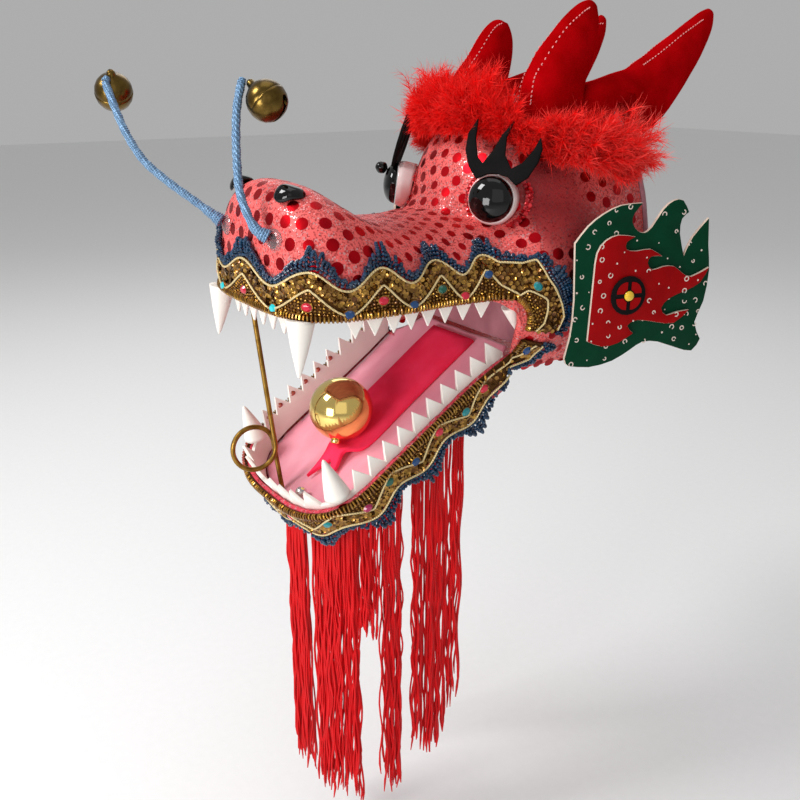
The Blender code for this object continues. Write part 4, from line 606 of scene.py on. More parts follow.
class Shape:
    """The points, faces and tints of one piece while it is built, in millimetres."""

    def __init__(self) -> None:
        """Start empty."""
        self.points: list[np.ndarray] = []
        self.faces: list[tuple[int, ...]] = []
        self.slots: list[int] = []
        self.tints: list[float] = []

    def add(self, points: Sequence, faces: Sequence, slot: int = 0) -> None:
        """Add points and faces.

        Args:
            points: The new points.
            faces: Faces that count from the first new point.
            slot: The material slot of the faces.
        """
        start = len(self.points)
        self.points += list(points)
        self.faces += [tuple(start + k for k in f) for f in faces]
        self.slots += [slot] * len(faces)
        self.tints += [0.0] * len(points)

    def tube(self, path: Sequence[np.ndarray], radii: float | Sequence[float], sides: int = 6) -> None:
        """Add a round tube with closed ends.

        Args:
            path: The points on its middle line.
            radii: Its radius, or one for each point.
            sides: How many sides it has.
        """
        path = [np.asarray(p, float) for p in path]
        sizes = [radii] * len(path) if isinstance(radii, (int, float)) else list(radii)
        turn = np.linspace(0.0, 2 * math.pi, sides, endpoint=False)
        first, points = None, []
        for k, place in enumerate(path):
            tangent = unit(path[min(k + 1, len(path) - 1)] - path[max(k - 1, 0)])
            if first is None:
                first = across(tangent)[0]
            first = unit(first - tangent * (first @ tangent))
            second = np.cross(tangent, first)
            points += ring(place, first, second, sizes[k], turn)
        faces = sleeve_faces(len(path), sides)
        faces.append(tuple(reversed(range(sides))))
        faces.append(tuple((len(path) - 1) * sides + j for j in range(sides)))
        self.add(points, faces)

    def turned(
        self, profile: Table, center: np.ndarray, axis: np.ndarray, sides: int = 12, slot: int = 0,
        first: np.ndarray | None = None, squash: float = 1.0,
    ) -> None:
        """Turn a profile round an axis.

        Args:
            profile: Rows of radius and height; a radius of 0 closes an end.
            center: The profile's origin.
            axis: The axis it turns round.
            sides: How many sides it has.
            slot: The material slot.
            first: The direction of the first side.
            squash: The size across, as a share of the size along the first side.
        """
        axis = unit(axis)
        start = across(axis)[0] if first is None else unit(first - axis * (axis @ first))
        second = np.cross(axis, start) * squash
        points, rings, faces = [], [], []
        for radius, height in profile:
            middle = np.asarray(center, float) + axis * height
            count = 1 if radius < 1e-6 else sides
            rings.append([len(points) + j for j in range(count)])
            turns = np.linspace(0.0, 2 * math.pi, count, endpoint=False)
            points += ring(middle, start, second, radius, turns)
        for low, high in zip(rings, rings[1:]):
            for j in range(sides):
                k = (j + 1) % sides
                if len(low) == 1:
                    faces.append((low[0], high[k], high[j]))
                elif len(high) == 1:
                    faces.append((low[j], low[k], high[0]))
                else:
                    faces.append((low[j], low[k], high[k], high[j]))
        self.add(points, faces, slot)

    def bead(self, center: np.ndarray, radius: float, axis: np.ndarray, sides: int = 6) -> None:
        """Add a small round bead, flattened a little along its axis."""
        rows = [(0.0, -0.85), (0.75, -0.6), (1.0, 0.0), (0.75, 0.6), (0.0, 0.85)]
        self.turned([(r * radius, h * radius) for r, h in rows], center, axis, sides)

    def disc(self, center: np.ndarray, normal: np.ndarray, radius: float, dish: float = 0.0) -> None:
        """Add a thin eight-sided disc, dished towards its middle."""
        self.turned([(radius, 0.0), (0.0, -dish)], center, normal, 8)

    def stone(self, center: np.ndarray, normal: np.ndarray, along: np.ndarray, length: float,
              width: float, slot: int) -> None:
        """Add a cut stone with a table and ten facets round it.

        Args:
            center: The middle of its base.
            normal: The way its table faces.
            along: The direction of its length.
            length: Its half length.
            width: Its half width.
            slot: The material slot.
        """
        profile = [(length, 0.0), (length, 0.5), (length * 0.62, 1.5), (0.0, 1.55)]
        self.turned(profile, center, normal, 10, slot, along, width / length)

    def build(
        self, name: str, looks: Sequence[Looks], slot: str, replaces: Sequence[str] = (),
        smooth: float = 40.0,
    ) -> bpy.types.Object:
        """Make the piece.

        Args:
            name: Its name.
            looks: The finishes of its material slots.
            slot: The record's material slot, which is not used.
            replaces: The CAD nodes it stands for.
            smooth: The angle up to which its faces are shaded as one.

        Returns:
            The piece, riding on the head.
        """
        mesh = bpy.data.meshes.new(name)
        mesh.from_pydata(np.asarray(self.points, float) * MM, [], self.faces)
        if any(self.slots):
            mesh.polygons.foreach_set("material_index", self.slots)
        if any(self.tints):
            mesh.attributes.new("tint", "FLOAT", "POINT").data.foreach_set("value", self.tints)
        return finish_piece(name, mesh, looks, replaces, smooth)


def add_object(name: str, data: bpy.types.ID) -> bpy.types.Object:
    """Add an object to the scene and return it."""
    made = bpy.data.objects.new(name, data)
    bpy.context.scene.collection.objects.link(made)
    return made


def evaluated(holder: bpy.types.Object) -> bpy.types.Mesh:
    """Return an object's mesh with its modifiers applied."""
    bpy.context.view_layer.update()
    graph = bpy.context.evaluated_depsgraph_get()
    return bpy.data.meshes.new_from_object(holder.evaluated_get(graph))


def finish_piece(
    name: str, mesh: bpy.types.Mesh, looks: Sequence[Looks], replaces: Sequence[str],
    smooth: float,
) -> bpy.types.Object:
    """Make an object of a mesh and hand it to the frame.

    Args:
        name: Its name.
        mesh: Its mesh, in metres.
        looks: The finishes of its material slots.
        replaces: The CAD nodes it stands for.
        smooth: The angle up to which its faces are shaded as one.

    Returns:
        The piece.
    """
    chosen = [face.material_index for face in mesh.polygons]
    mesh.materials.clear()
    for look in looks:
        mesh.materials.append(look.value.material())
    mesh.polygons.foreach_set("material_index", chosen)
    mesh.shade_smooth()
    mesh.set_sharp_from_angle(angle=math.radians(smooth))
    piece = add_object(name, mesh)
    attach(piece, ROOT)
    if replaces:
        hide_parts(*replaces)
    LOG.info("%s: %d faces", name, len(mesh.polygons))
    return piece


# a height in millimetres, or a tint, for each point
Relief = Callable[[np.ndarray], np.ndarray]
# a ray's start and direction, and the size and squash of the dot it lands
Spot = tuple[np.ndarray, np.ndarray, float, float]


@dataclass
class Cover:
    """A smooth skin made from the solid of one CAD node."""

    node: str
    look: Looks
    slot: str
    levels: int = 2
    bevel: float = 0.0
    relief: Relief | None = None
    tint: Relief | None = None
    edge_look: Looks | None = None
    smooth: float = 60.0
    crease: float = math.radians(52.0)

    # the angle from which edges are bevelled, and up to which faces count as flat
    BEVEL_ANGLE: ClassVar[float] = math.radians(38.0)
    FLAT_ANGLE: ClassVar[float] = math.radians(2.0)
    # how far two paired triangles may bend, and how far from a square they may be
    PAIR_BEND: ClassVar[float] = math.radians(32.0)
    PAIR_SHAPE: ClassVar[float] = math.radians(75.0)
    WELD_MM: ClassVar[float] = 0.002
    # how often the cage is pulled out, and by which share of the gap
    PULLS: ClassVar[int] = 3
    PULL_SHARE: ClassVar[float] = 0.8

    def build(self) -> bpy.types.Object:
        """Make the skin.

        Returns:
            The piece that stands for the node.
        """
        mesh = self._quads()
        holder = add_object(f"{self.node}_shape", mesh)
        if self.bevel:
            edge = holder.modifiers.new("edge", "BEVEL")
            edge.width = self.bevel * MM
            edge.segments = 2
            edge.limit_method = "ANGLE"
            edge.angle_limit = self.BEVEL_ANGLE
        if self.levels:
            rounding = holder.modifiers.new("rounding", "SUBSURF")
            rounding.levels = rounding.render_levels = self.levels
        made = evaluated(holder)
        if self.levels and not self.bevel:
            made = self._through_corners(holder, mesh, made)
        bpy.data.objects.remove(holder)
        self._shape(made)
        looks = [self.look] + ([self.edge_look] if self.edge_look else [])
        return finish_piece(f"{self.node}_skin", made, looks, [self.node], self.smooth)

    def _quads(self) -> bpy.types.Mesh:
        """Return the node's mesh with its corners joined and its triangles paired."""
        mesh = bmesh.new()
        mesh.from_mesh(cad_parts[self.node].data)
        bmesh.ops.remove_doubles(mesh, verts=mesh.verts, dist=self.WELD_MM * MM)
        bmesh.ops.join_triangles(
            mesh, faces=mesh.faces, angle_face_threshold=self.PAIR_BEND,
            angle_shape_threshold=self.PAIR_SHAPE,
        )
        if self.bevel:
            bmesh.ops.dissolve_limit(
                mesh, angle_limit=self.FLAT_ANGLE, verts=mesh.verts, edges=mesh.edges
            )
        crease = mesh.edges.layers.float.new("crease_edge")
        for edge in mesh.edges:
            edge[crease] = float(edge.calc_face_angle(0.0) > self.crease)
        made = bpy.data.meshes.new(f"{self.node}_quads")
        mesh.to_mesh(made)
        mesh.free()
        return made

    def _through_corners(
        self, holder: bpy.types.Object, mesh: bpy.types.Mesh, made: bpy.types.Mesh
    ) -> bpy.types.Mesh:
        """Move the cage until the rounded skin passes through the solid's own corners."""
        wanted = read_points(mesh)
        cage = wanted.copy()
        for _ in range(self.PULLS):
            cage += self.PULL_SHARE * (wanted - read_points(made)[: len(wanted)])
            mesh.vertices.foreach_set("co", cage.ravel())
            mesh.update()
            bpy.data.meshes.remove(made)
            made = evaluated(holder)
        return made

    def _shape(self, made: bpy.types.Mesh) -> None:
        """Add the relief, the tint and the cut edge's material."""
        points = read_points(made)
        if self.relief:
            normals = np.empty(points.size, np.float32)
            made.vertices.foreach_get("normal", normals)
            normals = normals.reshape(-1, 3)
            points += normals * self.relief(points / MM)[:, None] * MM
            made.vertices.foreach_set("co", points.astype(np.float32).ravel())
            made.update()
        if self.tint:
            tints = made.attributes.new("tint", "FLOAT", "POINT")
            tints.data.foreach_set("value", self.tint(points / MM).astype(np.float32))
        if self.edge_look:
            areas = [(p.area, tuple(p.normal)) for p in made.polygons]
            face = np.array(max(areas)[1])
            made.polygons.foreach_set(
                "material_index", [int(abs(np.array(p.normal) @ face) < 0.8) for p in made.polygons]
            )


def read_points(mesh: bpy.types.Mesh) -> np.ndarray:
    """Return a mesh's points, in metres."""
    points = np.empty(len(mesh.vertices) * 3, np.float32)
    mesh.vertices.foreach_get("co", points)
    return points.reshape(-1, 3).astype(float)


def ripple(points: np.ndarray, pitch: float, seed: float, stretch: Colour = (1.0, 1.0, 1.0)) -> np.ndarray:
    """Return soft ripples from -1 to 1 at points.

    Args:
        points: The points, in millimetres.
        pitch: The ripples' pitch.
        seed: A number that shifts them.
        stretch: How much they shrink along X, Y and Z.

    Returns:
        One value for each point.
    """
    x, y, z = (points * np.array(stretch) / pitch + seed).T
    waves = (
        np.sin(WAVE * x + 2.1 * np.sin(3.9 * y)),
        np.sin(WAVE * y + 1.7 * np.sin(4.4 * z)),
        np.sin(WAVE * z + 2.3 * np.sin(3.1 * x)),
    )
    return sum(waves) / 3.0


def bell_shape(value: np.ndarray, middle: float, width: float) -> np.ndarray:
    """Return 1 at the middle of a range, falling softly to 0 at its ends."""
    return np.exp(-(((value - middle) / width) ** 2))


def step_up(value: np.ndarray, width: float) -> np.ndarray:
    """Return a soft step from 0 to 1 where a value passes 0."""
    return 1 / (1 + np.exp(-value / width))


# The lips and the trims that follow them


@dataclass(frozen=True)
class JawFrame:
    """The lower jaw's slope: s runs forward and down it, n runs up out of the tray."""

    angle: float = math.radians(33.5)
    origin: Colour = (0.0, -88.0, -57.0)

    @property
    def forward(self) -> np.ndarray:
        """The direction of s."""
        return np.array([0.0, -math.cos(self.angle), -math.sin(self.angle)])

    @property
    def up(self) -> np.ndarray:
        """The direction of n."""
        return np.array([0.0, -math.sin(self.angle), math.cos(self.angle)])

    def point(self, x: float, s: float, n: float) -> np.ndarray:
        """Return the point at x, s and n."""
        return np.array([x, 0.0, 0.0]) + np.array(self.origin) + self.forward * s + self.up * n


JAW = JawFrame()


@dataclass(frozen=True)
class Outline:
    """Half of a lip's outline in plan: upright sides and a rounded front."""

    front: float
    length: float
    power: float
    widths: Table
    rear: float

    def width(self, y: float) -> float:
        """Return the half width at a plan station, before the front is rounded."""
        return smooth_table(y, self.widths)

    def rows(self, steps: int = 400) -> tuple[np.ndarray, np.ndarray, np.ndarray]:
        """Walk the outline from the middle of the front.

        Args:
            steps: How many steps to take.

        Returns:
            Distances, plan points and outward plan normals.
        """
        points = []
        for k in range(steps + 1):
            share = k / steps
            start = self.front + self.length
            if share < 0.5:
                turn = math.sin(math.pi * share) ** (2 / self.power)
                y = self.front + self.length * (1 - (1 - turn**self.power) ** (1 / self.power))
                points.append((self.width(y) * turn, y))
            else:
                y = start + (self.rear - start) * (share - 0.5) * 2
                points.append((self.width(y), y))
        points = np.array(points)
        step = np.gradient(points, axis=0)
        step[0] = (1.0, 0.0)
        normals = np.stack([step[:, 1], -step[:, 0]], axis=1)
        normals /= np.linalg.norm(normals, axis=1)[:, None]
        return run_lengths(points), points, normals


# a point on the lip's edge, the normal there and the way over the skin
Station = tuple[np.ndarray, np.ndarray, np.ndarray]


@dataclass
class LipBand:
    """The strip of skin along one lip, which braid, beads and stones are placed on.

    Distances run from the middle of the front, positive towards the dragon's left. Levels run from
    the lip's edge over the skin. Corner rows give x, inner y and z, and outer y and z.
    """

    skin: Skin
    outline: Outline
    lower: bool
    straight: float
    corner: Table
    waves: Sequence[float]
    height_mid: float
    height_wave: float
    bead_mid: float
    bead_wave: float
    lip_z: float = -25.0
    step: float = 1.5
    corner_steps: int = 4
    levels: int = 24

    def __post_init__(self) -> None:
        """Walk over the skin once and keep every place."""
        stations = self._straight_run()
        turned = self._corner_run(stations[-1])
        ends = list(np.arange(0.0, self.straight + 0.01, self.step))
        ends += [self.straight + self.step * (k + 1) for k in range(len(turned))]
        self._distances = np.array(ends)
        walked = [self._walk(*station) for station in stations + turned]
        self._places = np.array([[w[0] for w in row] for row in walked])
        self._normals = np.array([[w[1] for w in row] for row in walked])
        self.end = float(self._distances[-1])

    def _straight_run(self) -> list[Station]:
        """Return the stations along the straight run."""
        stations = []
        lengths, points, normals = self.outline.rows()
        for distance in np.arange(0.0, self.straight + 0.01, self.step):
            p = read_rows(distance, lengths, points)
            n = unit(read_rows(distance, lengths, normals))
            if self.lower:
                outward = np.array([n[0], 0.0, 0.0]) - JAW.forward * n[1]
                stations.append((JAW.point(p[0], -p[1], 0.0), outward, -JAW.up))
            else:
                place = np.array([p[0], p[1], self.lip_z])
                stations.append((place, np.array([n[0], n[1], 0.0]), UPRIGHT))
        return stations

    def _corner_run(self, last: Station) -> list[Station]:
        """Return the stations past the last straight one, and keep the braid's heights there."""
        stations, steps = [], self.corner_steps
        table = [(last[0], last[2] * self._wave_height(self.straight))]
        for x, inner_y, inner_z, outer_y, outer_z in self.corner:
            run = np.array([0.0, outer_y - inner_y, outer_z - inner_z])
            table.append((np.array([x, inner_y, inner_z]), run))
        for k in range(steps * (len(table) - 1)):
            i, f = (k + 1) // steps, ((k + 1) % steps) / steps
            j = min(i + 1, len(table) - 1)
            place = table[i][0] * (1 - f) + table[j][0] * f
            run = table[i][1] * (1 - f) + table[j][1] * f
            stations.append((place, np.array([1.0, 0, 0]), unit(run)))
        self._runs = [np.linalg.norm(run) for _, run in table]
        return stations

    def _wave_height(self, distance: float) -> float:
        """Return the braid's height on the straight run."""
        return self.height_mid + self.height_wave * self.wave(distance)

    def wave(self, distance: float) -> float:
        """Return 1 on a crest and -1 in a trough."""
        distance = min(abs(distance), self.waves[-1])
        i = min(int(np.searchsorted(self.waves, distance, side="right")) - 1, len(self.waves) - 2)
        share = (distance - self.waves[i]) / (self.waves[i + 1] - self.waves[i])
        return (1.0 if i % 2 == 0 else -1.0) * math.cos(math.pi * share)

    def height(self, distance: float) -> float:
        """Return the braid's height at a distance."""
        past = abs(distance) - self.straight
        if past <= 0:
            return self._wave_height(distance)
        return float(np.interp(past / (self.corner_steps * self.step), range(len(self._runs)), self._runs))

    def bead_height(self, distance: float) -> float:
        """Return how far the bead loops stand out past the braid."""
        wave = self.wave(distance)
        size = self.bead_mid + self.bead_wave * wave + (2.0 if wave > 0.8 else 0.0)
        return size * (0.7 if self.lower and abs(distance) < 62.0 else 1.0)

    def _walk(
        self, point: np.ndarray, outward: np.ndarray, way: np.ndarray
    ) -> list[tuple[np.ndarray, np.ndarray]]:
        """Walk over the skin from the lip's edge.

        Args:
            point: The place on the edge.
            outward: The normal there.
            way: The direction of the walk.

        Returns:
            A place and a normal for each level.
        """
        rows = [(point, outward)]
        place, normal = point, outward
        for k in range(1, self.levels):
            if self.lower and abs(way @ JAW.up) > 0.999:
                straight = point + way * self.step * k
                found = self.skin.land(straight, -outward, 12.0)
                place = straight
                if found is not None and abs((found[0] - straight) @ outward) < 1.5:
                    place = found[0]
            else:
                along = unit(way - normal * (way @ normal))
                place, facing = self.skin.near(place + along * self.step)
                facing = facing if facing @ outward > -0.3 else -facing
                normal = unit(0.6 * normal + 0.4 * facing)
            rows.append((place, normal))
        return rows

    def at(self, distance: float, level: float, lift: float = 0.0) -> np.ndarray:
        """Return the place at a distance, a level and a height over the skin."""
        place, normal = self.frame_at(distance, level)
        return place + normal * lift

    def frame_at(self, distance: float, level: float) -> tuple[np.ndarray, np.ndarray]:
        """Return the place and the normal at a distance and a level."""
        flip = np.array([-1.0 if distance < 0 else 1.0, 1.0, 1.0])
        row = float(np.interp(min(abs(distance), self.end), self._distances, range(len(self._distances))))
        i = min(int(row), len(self._distances) - 2)
        column = min(max(level / self.step, 0.0), self.levels - 1.001)
        j = int(column)
        f, g = row - i, column - j
        weights = ((1 - f) * (1 - g), (1 - f) * g, f * (1 - g), f * g)
        cells = ((i, j), (i, j + 1), (i + 1, j), (i + 1, j + 1))
        place = sum(w * self._places[c] for w, c in zip(weights, cells))
        normal = sum(w * self._normals[c] for w, c in zip(weights, cells))
        return place * flip, unit(normal) * flip


SNOUT = Outline(
    -202.0, 37.0, 3.2,
    ((-202.0, 57.0), (-189.0, 57.0), (-181.0, 57.0), (-174.0, 57.0), (-165.0, 57.5), (-153.0, 58.5),
     (-144.0, 58.5), (-130.0, 58.0), (-114.0, 59.0), (-100.0, 61.5), (-88.0, 66.5), (-75.0, 71.5)),
    -93.0,
)
TRAY = Outline(
    -130.5, 40.0, 2.8,
    ((-131.0, 55.0), (-90.0, 55.0), (-30.0, 55.5), (-12.0, 57.0), (0.0, 60.0), (14.0, 66.0)), -7.0,
)


@dataclass
class Braid:
    """Gold sequin braid with cords, loops, set stones and an edge of blue bead loops."""

    name: str
    band: LipBand
    stones: Sequence[tuple[float, float, Looks]]
    rng: np.random.Generator
    sequin_rows: int = 3
    loop_pitch: float = 1.75
    bead_radius: float = 0.95
    loop_step: float = 1.75
    # how far along the tilt, level and lift of a lip loop's points
    lip_loop: Table = ((1.0, 3.4, 1.6), (0.6, 2.6, 2.9), (0.0, 1.2, 3.1), (-0.6, 0.1, 2.2), (-1.0, 0.1, 0.9))

    def build(self) -> None:
        """Make the ground, cords, sequins, loops, stones and blue beads."""
        self._ground()
        self._cords()
        self._sequins()
        self._lip_loops()
        self._stones()
        self._blue_loops()

    def _ground(self) -> None:
        """Make the woven ground: a ribbon with a low crown."""
        shape = Shape()
        shares = (0.0, 0.05, 0.12, 0.2, 0.3, 0.42, 0.55, 0.7, 0.85, 0.95, 1.0, 0.98, 0.8, 0.6, 0.4, 0.2, 0.02)
        lifts = (0.6, 1.2, 1.6, 1.7, 1.8, 1.8, 1.8, 1.8, 1.7, 1.4, 0.6) + (0.2,) * 6
        stops = np.arange(-self.band.end, self.band.end + 0.1, 1.5)
        points = []
        for d in stops:
            full = self.band.height(d)
            points += [self.band.at(d, share * full, lift) for share, lift in zip(shares, lifts)]
        count = len(shares)
        faces = sleeve_faces(len(stops), count)
        faces += [tuple(range(count)), tuple((len(stops) - 1) * count + j for j in reversed(range(count)))]
        shape.add(points, faces)
        shape.build(f"{self.name}_braid", [Looks.BRAID], "gold_braid", [f"{self.name}_trim"], 50.0)

    def _zigzag(self, distance: float) -> float:
        """Return the level of the inner cord, which peaks under each crest."""
        full = self.band.height(distance)
        share = 0.5 + 0.5 * math.asin(max(-1.0, min(1.0, self.band.wave(distance)))) / (0.5 * math.pi)
        return full * (0.16 + 0.50 * share)

    def _cords(self) -> None:
        """Make the wavy outer cord and the zigzag inner cord."""
        shape = Shape()
        stops = np.arange(-self.band.end + 1.0, self.band.end - 0.9, 1.1)
        shape.tube([self.band.at(d, self.band.height(d) - 0.3, 2.3) for d in stops], 0.55, 6)
        shape.tube([self.band.at(d, self._zigzag(d), 2.8) for d in stops], 0.5, 6)
        shape.build(f"{self.name}_cords", [Looks.CREAM_CORD], "gold_braid")

    def _sequins(self) -> None:
        """Make rows of overlapping sequins above the zigzag and small beads below it."""
        discs, grains = Shape(), Shape()
        for d in np.arange(-self.band.end + 1.0, self.band.end - 1.0, 1.9):
            full, inner = self.band.height(d), self._zigzag(d)
            for row in range(self.sequin_rows + 3):
                level = full - 1.8 - 2.0 * row
                if level < inner + 1.0:
                    break
                place, normal = self.band.frame_at(d + 0.95 * (row % 2), level)
                lean = self.rng.normal(0.0, 0.34, 3)
                discs.disc(place + normal * 2.25, unit(normal + lean), 1.2, 0.3)
            level = inner - 1.4
            while level > 2.6:
                place, normal = self.band.frame_at(d + self.rng.uniform(-0.4, 0.4), level)
                along = unit(np.cross(normal, self.rng.normal(0.0, 1.0, 3)))
                grains.bead(place + normal * 2.1, 0.72, along, 5)
                level -= 1.5
        discs.build(f"{self.name}_sequins", [Looks.SEQUIN], "gold_braid", smooth=20.0)
        grains.build(f"{self.name}_grains", [Looks.LOOP], "gold_braid")

    def _lip_loops(self) -> None:
        """Make the short gold loops along the lip's edge."""
        shape = Shape()
        for d in np.arange(-self.band.end + 0.6, self.band.end - 0.6, self.loop_pitch):
            tilt = self.rng.uniform(-0.5, 0.5)
            path = [self.band.at(d + tilt * lean, level, lift) for lean, level, lift in self.lip_loop]
            shape.tube(path, 0.62, 5)
        shape.build(f"{self.name}_lip_loops", [Looks.LOOP], "gold_braid")

    def _stones(self) -> None:
        """Set the cut stones, each with a table and ten facets, in a thin collet."""
        looks = [Looks.SEQUIN] + list(dict.fromkeys(look for _, _, look in self.stones))
        shape = Shape()
        for distance, share, look in self.stones:
            place, normal = self.band.frame_at(distance, share * self.band.height(distance))
            ahead = self.band.at(distance + 2.0, share * self.band.height(distance))
            along = unit(ahead - place)
            shape.turned([(3.1, 1.6), (3.1, 2.5), (2.5, 2.7), (2.3, 2.3)], place, normal, 12, 0, along, 0.8)
            shape.stone(place + normal * 2.2, normal, along, 2.7, 2.1, looks.index(look))
        shape.build(f"{self.name}_stones", looks, "gold_braid", smooth=12.0)

    def _blue_loops(self) -> None:
        """Make the loops of blue seed beads outside the braid."""
        shape = Shape()
        d = -self.band.end + 1.0
        while d < self.band.end - 1.0:
            start, size = self.band.height(d) + 0.5, self.band.bead_height(d)
            reach = start + 0.6 * size
            spread = float(np.linalg.norm(self.band.at(d + 0.5, reach) - self.band.at(d - 0.5, reach)))
            d += self.loop_step / max(spread, 0.7)
            size *= self.rng.uniform(0.82, 1.08)
            lean, rise = self.rng.uniform(-1.4, 1.4), self.rng.uniform(1.6, 3.6)
            count = max(int((2.0 * size + 2.4) / 1.5), 4)
            for k in range(count):
                turn = math.pi * (k + 0.5) / count
                level = start + size * math.sin(turn)
                spot = d + (lean * math.sin(turn) - 1.3 * math.cos(turn)) / max(spread, 1.0)
                lift = 0.9 + rise * math.sin(turn) ** 0.8 * (0.55 + 0.45 * math.cos(turn))
                place, normal = self.band.frame_at(spot, level)
                axis = unit(np.cross(normal, [math.cos(turn), 0.3, math.sin(turn)]))
                shape.bead(place + normal * max(lift, 0.9), self.bead_radius, axis)
        shape.build(f"{self.name}_bead_loops", [Looks.BLUE_BEAD], "blue_beads", [f"{self.name}_bead_edge"])


# The head and its mouth


@dataclass
class HeadCloth:
    """The stretched cloth of head, throat and jaw with its foil dots, and the bound back edge."""

    rng: np.random.Generator
    dot_radius: float = 2.95
    row_pitch: float = 9.4
    dot_pitch: float = 10.6
    gap: float = 7.2
    tight_gap: float = 5.2

    def build(self) -> Skin:
        """Make the cloths and their dots.

        Returns:
            The head's skin.
        """
        cloth, slot = Looks.HEAD_CLOTH, "dot_cloth"
        head = Cover("head_shell", cloth, slot, relief=self._gathers, tint=self._shade).build()
        throat = Cover("throat_gusset", cloth, slot, relief=self._slack, tint=self._redden).build()
        jaw = Cover("lower_jaw", Looks.JAW_CLOTH, slot, 1, relief=self._slack).build()
        Cover("back_binding", Looks.MAUVE, "mauve_cloth", 1, relief=self._puckers).build()
        skin = Skin(head)
        self._dots("head_dots", skin, self._front_spots(skin) + self._round_spots(skin))
        under = Skin(throat, jaw)
        self._dots("under_dots", under, self._under_spots())
        return skin

    @staticmethod
    def _gathers(points: np.ndarray) -> np.ndarray:
        """Return soft dimples over the head and gathers where the cheek is bound."""
        x, y, z = points.T
        cheek = bell_shape(y, -35.0, 40.0) * bell_shape(z, -62.0, 26.0)
        saddle = bell_shape(y, -122.0, 28.0) * (z > -8.0)
        fold = np.sin(y * 0.9 + 2.0 * np.sin(z * 0.16))
        crease = np.sin(x * 0.42 + 1.6 * np.sin(y * 0.13))
        return (-0.25 + 0.2 * ripple(points, 38.0, 0.3) + 0.38 * cheek * (fold - 1.0)
                + 0.28 * saddle * (crease - 1.0))

    @staticmethod
    def _slack(points: np.ndarray) -> np.ndarray:
        """Return slack wrinkles that run across the throat and jaw."""
        return -0.35 + 0.35 * ripple(points, 17.0, 1.7, (0.5, 1.6, 1.0))

    @staticmethod
    def _puckers(points: np.ndarray) -> np.ndarray:
        """Return the puckers of the hand-sewn binding."""
        turn = np.arctan2(points[:, 2], points[:, 0])
        return -0.12 + 0.12 * np.sin(turn * 90.0)

    @staticmethod
    def _shade(points: np.ndarray) -> np.ndarray:
        """Return the painted shade, which reddens the cloth: behind the eyes, in the saddle's folds, towards
        the rear and under the down.
        """
        x, y, z = np.abs(points[:, 0]), points[:, 1], points[:, 2]
        behind = step_up(y + 72.0, 1.2) * step_up(-(y + 34.0 + 0.25 * z), 4.0)
        behind *= (x > 40.0) * step_up(z + 6.0, 4.0)
        saddle = bell_shape(y, -124.0, 24.0) * bell_shape(z, 12.0, 9.0) * 0.5
        rear = step_up(y + 14.0, 5.0) * 0.35
        crown = step_up(z - 46.0, 3.0) * (y > -60.0)
        return np.clip(np.maximum.reduce([behind, saddle, rear, crown]), 0.0, 1.0)

    @staticmethod
    def _redden(points: np.ndarray) -> np.ndarray:
        """Return an even reddish tint."""
        return np.full(len(points), 0.3)

    def _shift(self, row: int) -> float:
        """Return how far a row's dots are moved, so that rows are staggered."""
        return 0.5 * self.dot_pitch * (row % 2)

    def _front_spots(self, skin: Skin) -> list[Spot]:
        """Return the dots' rays on the front of the snout."""
        spots, way = [], np.array([0.0, 1.0, -0.05])
        for row, z in enumerate(np.arange(-20.0, 34.0, self.row_pitch)):
            for x in np.arange(-54.0, 54.1, self.dot_pitch):
                start = np.array([x + self._shift(row), -200.0, z])
                found = skin.land(start, way, 30.0)
                if found and found[1][1] < -0.72:
                    spots.append((start, way, 1.0, 1.0))
        return spots

    def _round_spots(self, skin: Skin) -> list[Spot]:
        """Return the dots' rays in rows round the head, from the snout back."""
        spots = []
        ridge = [skin.land(np.array([0.0, y, 40.0]), np.array([0.0, 0.0, -1.0]), 60.0)
                 for y in np.arange(-192.0, -4.0, 0.5)]
        ridge = np.array([found[0] for found in ridge if found])
        run = run_lengths(ridge)
        place, row = 0.0, 0
        while place < run[-1]:
            y = float(np.interp(place, run, ridge[:, 1]))
            middle = np.array([0.0, y, -16.0])
            turns = np.radians(np.arange(0.0, 152.0, 0.5))
            hits = [skin.land(middle, -np.array([math.sin(a), 0.0, math.cos(a)]), 130.0) for a in turns]
            path = np.array([hit[0] if hit else middle for hit in hits])
            along = run_lengths(path)
            saddle = float(bell_shape(np.array([y]), -122.0, 26.0)[0])
            for distance in np.arange(self._shift(row), along[-1], self.dot_pitch):
                turn = float(np.interp(distance, along, turns))
                for sign in (1.0, -1.0) if distance > 0 else (1.0,):
                    way = -np.array([sign * math.sin(turn), 0.0, math.cos(turn)])
                    spots.append((middle, way, 1.0 - 0.06 * saddle, 1.0 - 0.42 * saddle))
            place += self.row_pitch * (1.0 - 0.30 * saddle)
            row += 1
        return spots

    def _under_spots(self) -> list[Spot]:
        """Return the dots' rays on the throat and the underside of the jaw."""
        spots = []
        for row, y in enumerate(np.arange(-190.0, -8.0, self.row_pitch)):
            for x in np.arange(-50.0, 50.1, self.dot_pitch):
                spots.append((np.array([x + self._shift(row), y, -170.0]), UPRIGHT, 1.0, 1.0))
        return spots

    def _dots(self, name: str, skin: Skin, spots: Sequence[Spot]) -> None:
        """Press the foil dots on a skin.

        Args:
            name: The piece's name.
            skin: The skin.
            spots: Rays, sizes and squashes.
        """
        shape, kept = Shape(), []
        for start, way, size, squash in spots:
            found = skin.land(start, way, 140.0)
            if found is None:
                continue
            place = found[0]
            close = self.gap if squash > 0.9 else self.tight_gap
            if any(np.linalg.norm(place - other) < close for other in kept):
                continue
            if name == "head_dots" and self._bare(place):
                continue
            kept.append(place)
            self._dot(shape, skin, found, size, squash)
        shape.build(name, [Looks.FOIL_DOT], "dot_cloth", smooth=60.0)

